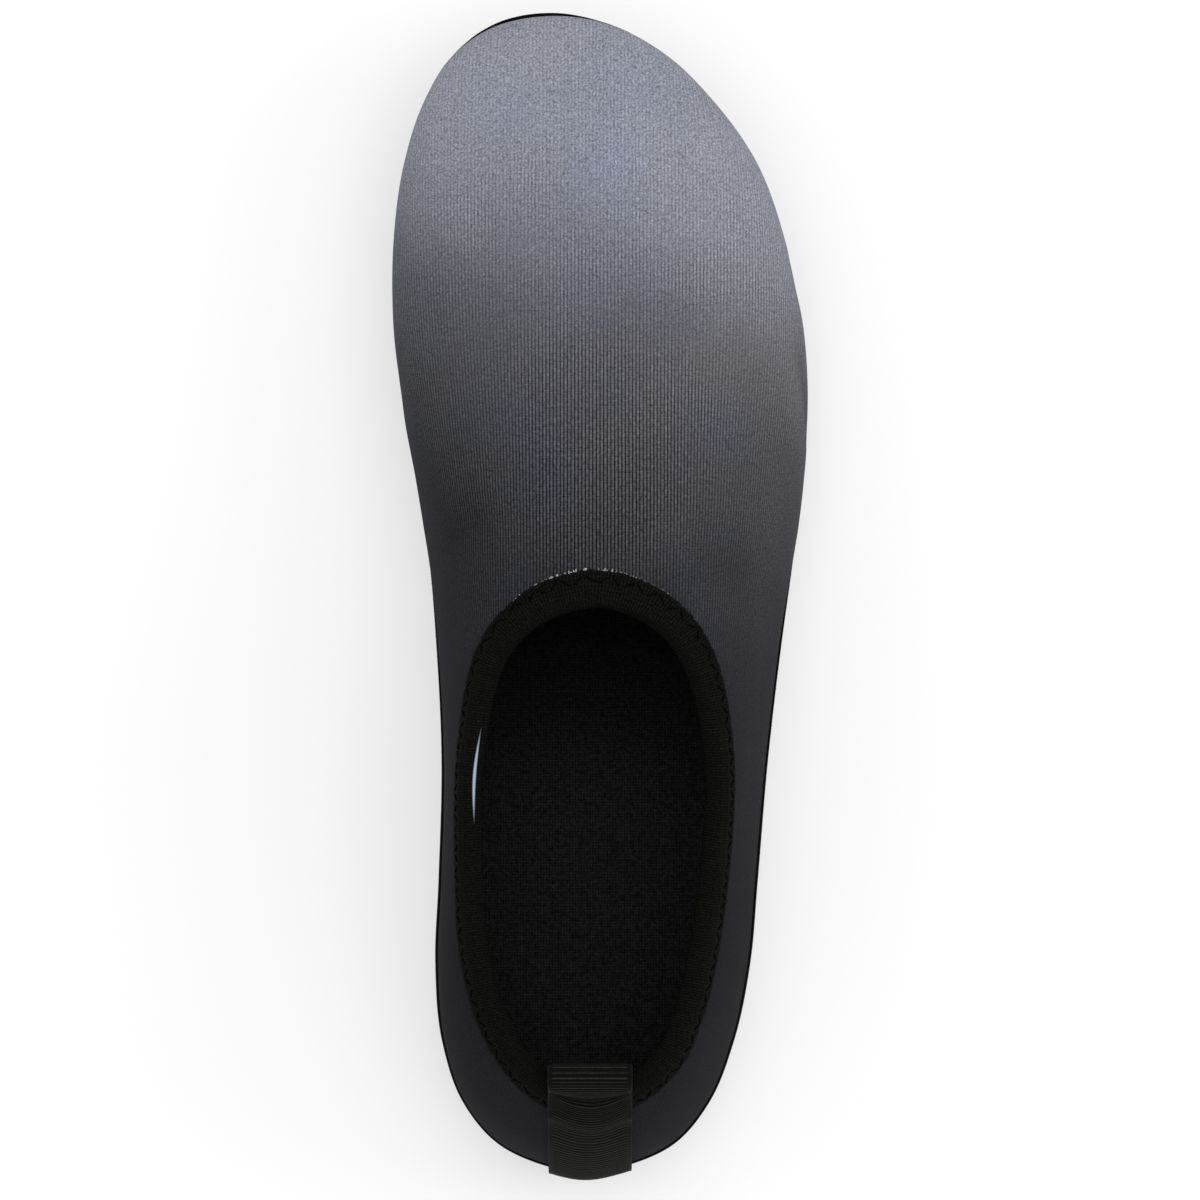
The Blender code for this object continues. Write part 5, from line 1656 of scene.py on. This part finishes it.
class WaterShoeStage(PropertyGroup):
    """Light and camera"""

    sky: share("Sky", "Strength of the even white light", 0.86)
    above: power("Light above", "Power of the soft light above", 5.5)
    outer: power("Light at the outer side", "Power of the soft light on that side", 4.2)
    inner: power("Light at the inner side", "Power of the soft light on that side", 1.3)
    camera_height: length("Camera height", "Height of the camera over the floor", 3.0)
    frame_width: length("Frame width", "Width of what the camera sees at the shoe", 0.2690)


@cache
def the_last():
    """The last, worked out once."""
    return Last()


class Maker:
    """What each operator does: call the functions of its pieces, which raise on failure."""

    def execute(self, context):
        for make in self.makers:
            make(the_last(), context.scene.water_shoe_sizes, context.scene.water_shoe_looks)
        return {"FINISHED"}


class WATERSHOE_OT_upper(Maker, Operator):
    """Make the faded knit upper and its lining"""

    bl_idname = "water_shoe.upper"
    bl_label = "Knit upper"
    makers = (make_knit_upper,)


class WATERSHOE_OT_collar(Maker, Operator):
    """Make the collar's tape, its zigzag seam and the wale ends at its edge"""

    bl_idname = "water_shoe.collar"
    bl_label = "Collar binding"
    makers = (make_collar_tape, make_collar_stitching, make_edge_loops)


class WATERSHOE_OT_pull(Maker, Operator):
    """Make the webbing heel pull and its stitches"""

    bl_idname = "water_shoe.pull"
    bl_label = "Heel pull"
    makers = (make_heel_webbing, make_pull_stitching)


class WATERSHOE_OT_seam(Maker, Operator):
    """Make the felt seam and its loose fibres"""

    bl_idname = "water_shoe.seam"
    bl_label = "Felt seam"
    makers = (make_felt_seam, make_seam_fuzz)


class WATERSHOE_OT_sole(Maker, Operator):
    """Make the rubber cup sole with its tread"""

    bl_idname = "water_shoe.sole"
    bl_label = "Rubber sole"
    makers = (make_rubber_sole,)


class WATERSHOE_OT_insole(Maker, Operator):
    """Make the mesh insole"""

    bl_idname = "water_shoe.insole"
    bl_label = "Insole"
    makers = (make_mesh_insole,)


class WATERSHOE_OT_stage(Maker, Operator):
    """Make the floor, the lights and the camera"""

    bl_idname = "water_shoe.stage"
    bl_label = "Stage"
    makers = (make_stage,)


class WATERSHOE_PT_sidebar(Panel):
    """Lists the shoe's pieces and settings"""

    bl_label = "Water shoe"
    bl_idname = "WATERSHOE_PT_sidebar"
    bl_space_type = "VIEW_3D"
    bl_region_type = "UI"
    bl_category = "Water shoe"

    def draw(self, context):
        for name, kind in GROUPS.items():
            box = self.layout.box()
            for setting in kind.__annotations__:
                box.prop(getattr(context.scene, name), setting)
        for operator in OPERATORS:
            self.layout.operator(operator.bl_idname)


OPERATORS = (WATERSHOE_OT_upper, WATERSHOE_OT_collar, WATERSHOE_OT_pull, WATERSHOE_OT_seam,
             WATERSHOE_OT_sole, WATERSHOE_OT_insole, WATERSHOE_OT_stage)
GROUPS = {"water_shoe_sizes": WaterShoeSizes, "water_shoe_looks": WaterShoeLooks,
          "water_shoe_stage": WaterShoeStage}


def register():
    for item in (*GROUPS.values(), *OPERATORS, WATERSHOE_PT_sidebar):
        bpy.utils.register_class(item)
    for name, group in GROUPS.items():
        setattr(bpy.types.Scene, name, PointerProperty(type=group))


def unregister():
    for name in GROUPS:
        delattr(bpy.types.Scene, name)
    for item in (WATERSHOE_PT_sidebar, *OPERATORS[::-1], *GROUPS.values()):
        bpy.utils.unregister_class(item)


def main():
    register()
    for operator in (bpy.ops.water_shoe.upper, bpy.ops.water_shoe.collar,
                     bpy.ops.water_shoe.pull, bpy.ops.water_shoe.seam, bpy.ops.water_shoe.sole,
                     bpy.ops.water_shoe.insole, bpy.ops.water_shoe.stage):
        operator()


if __name__ == "__main__":
    main()
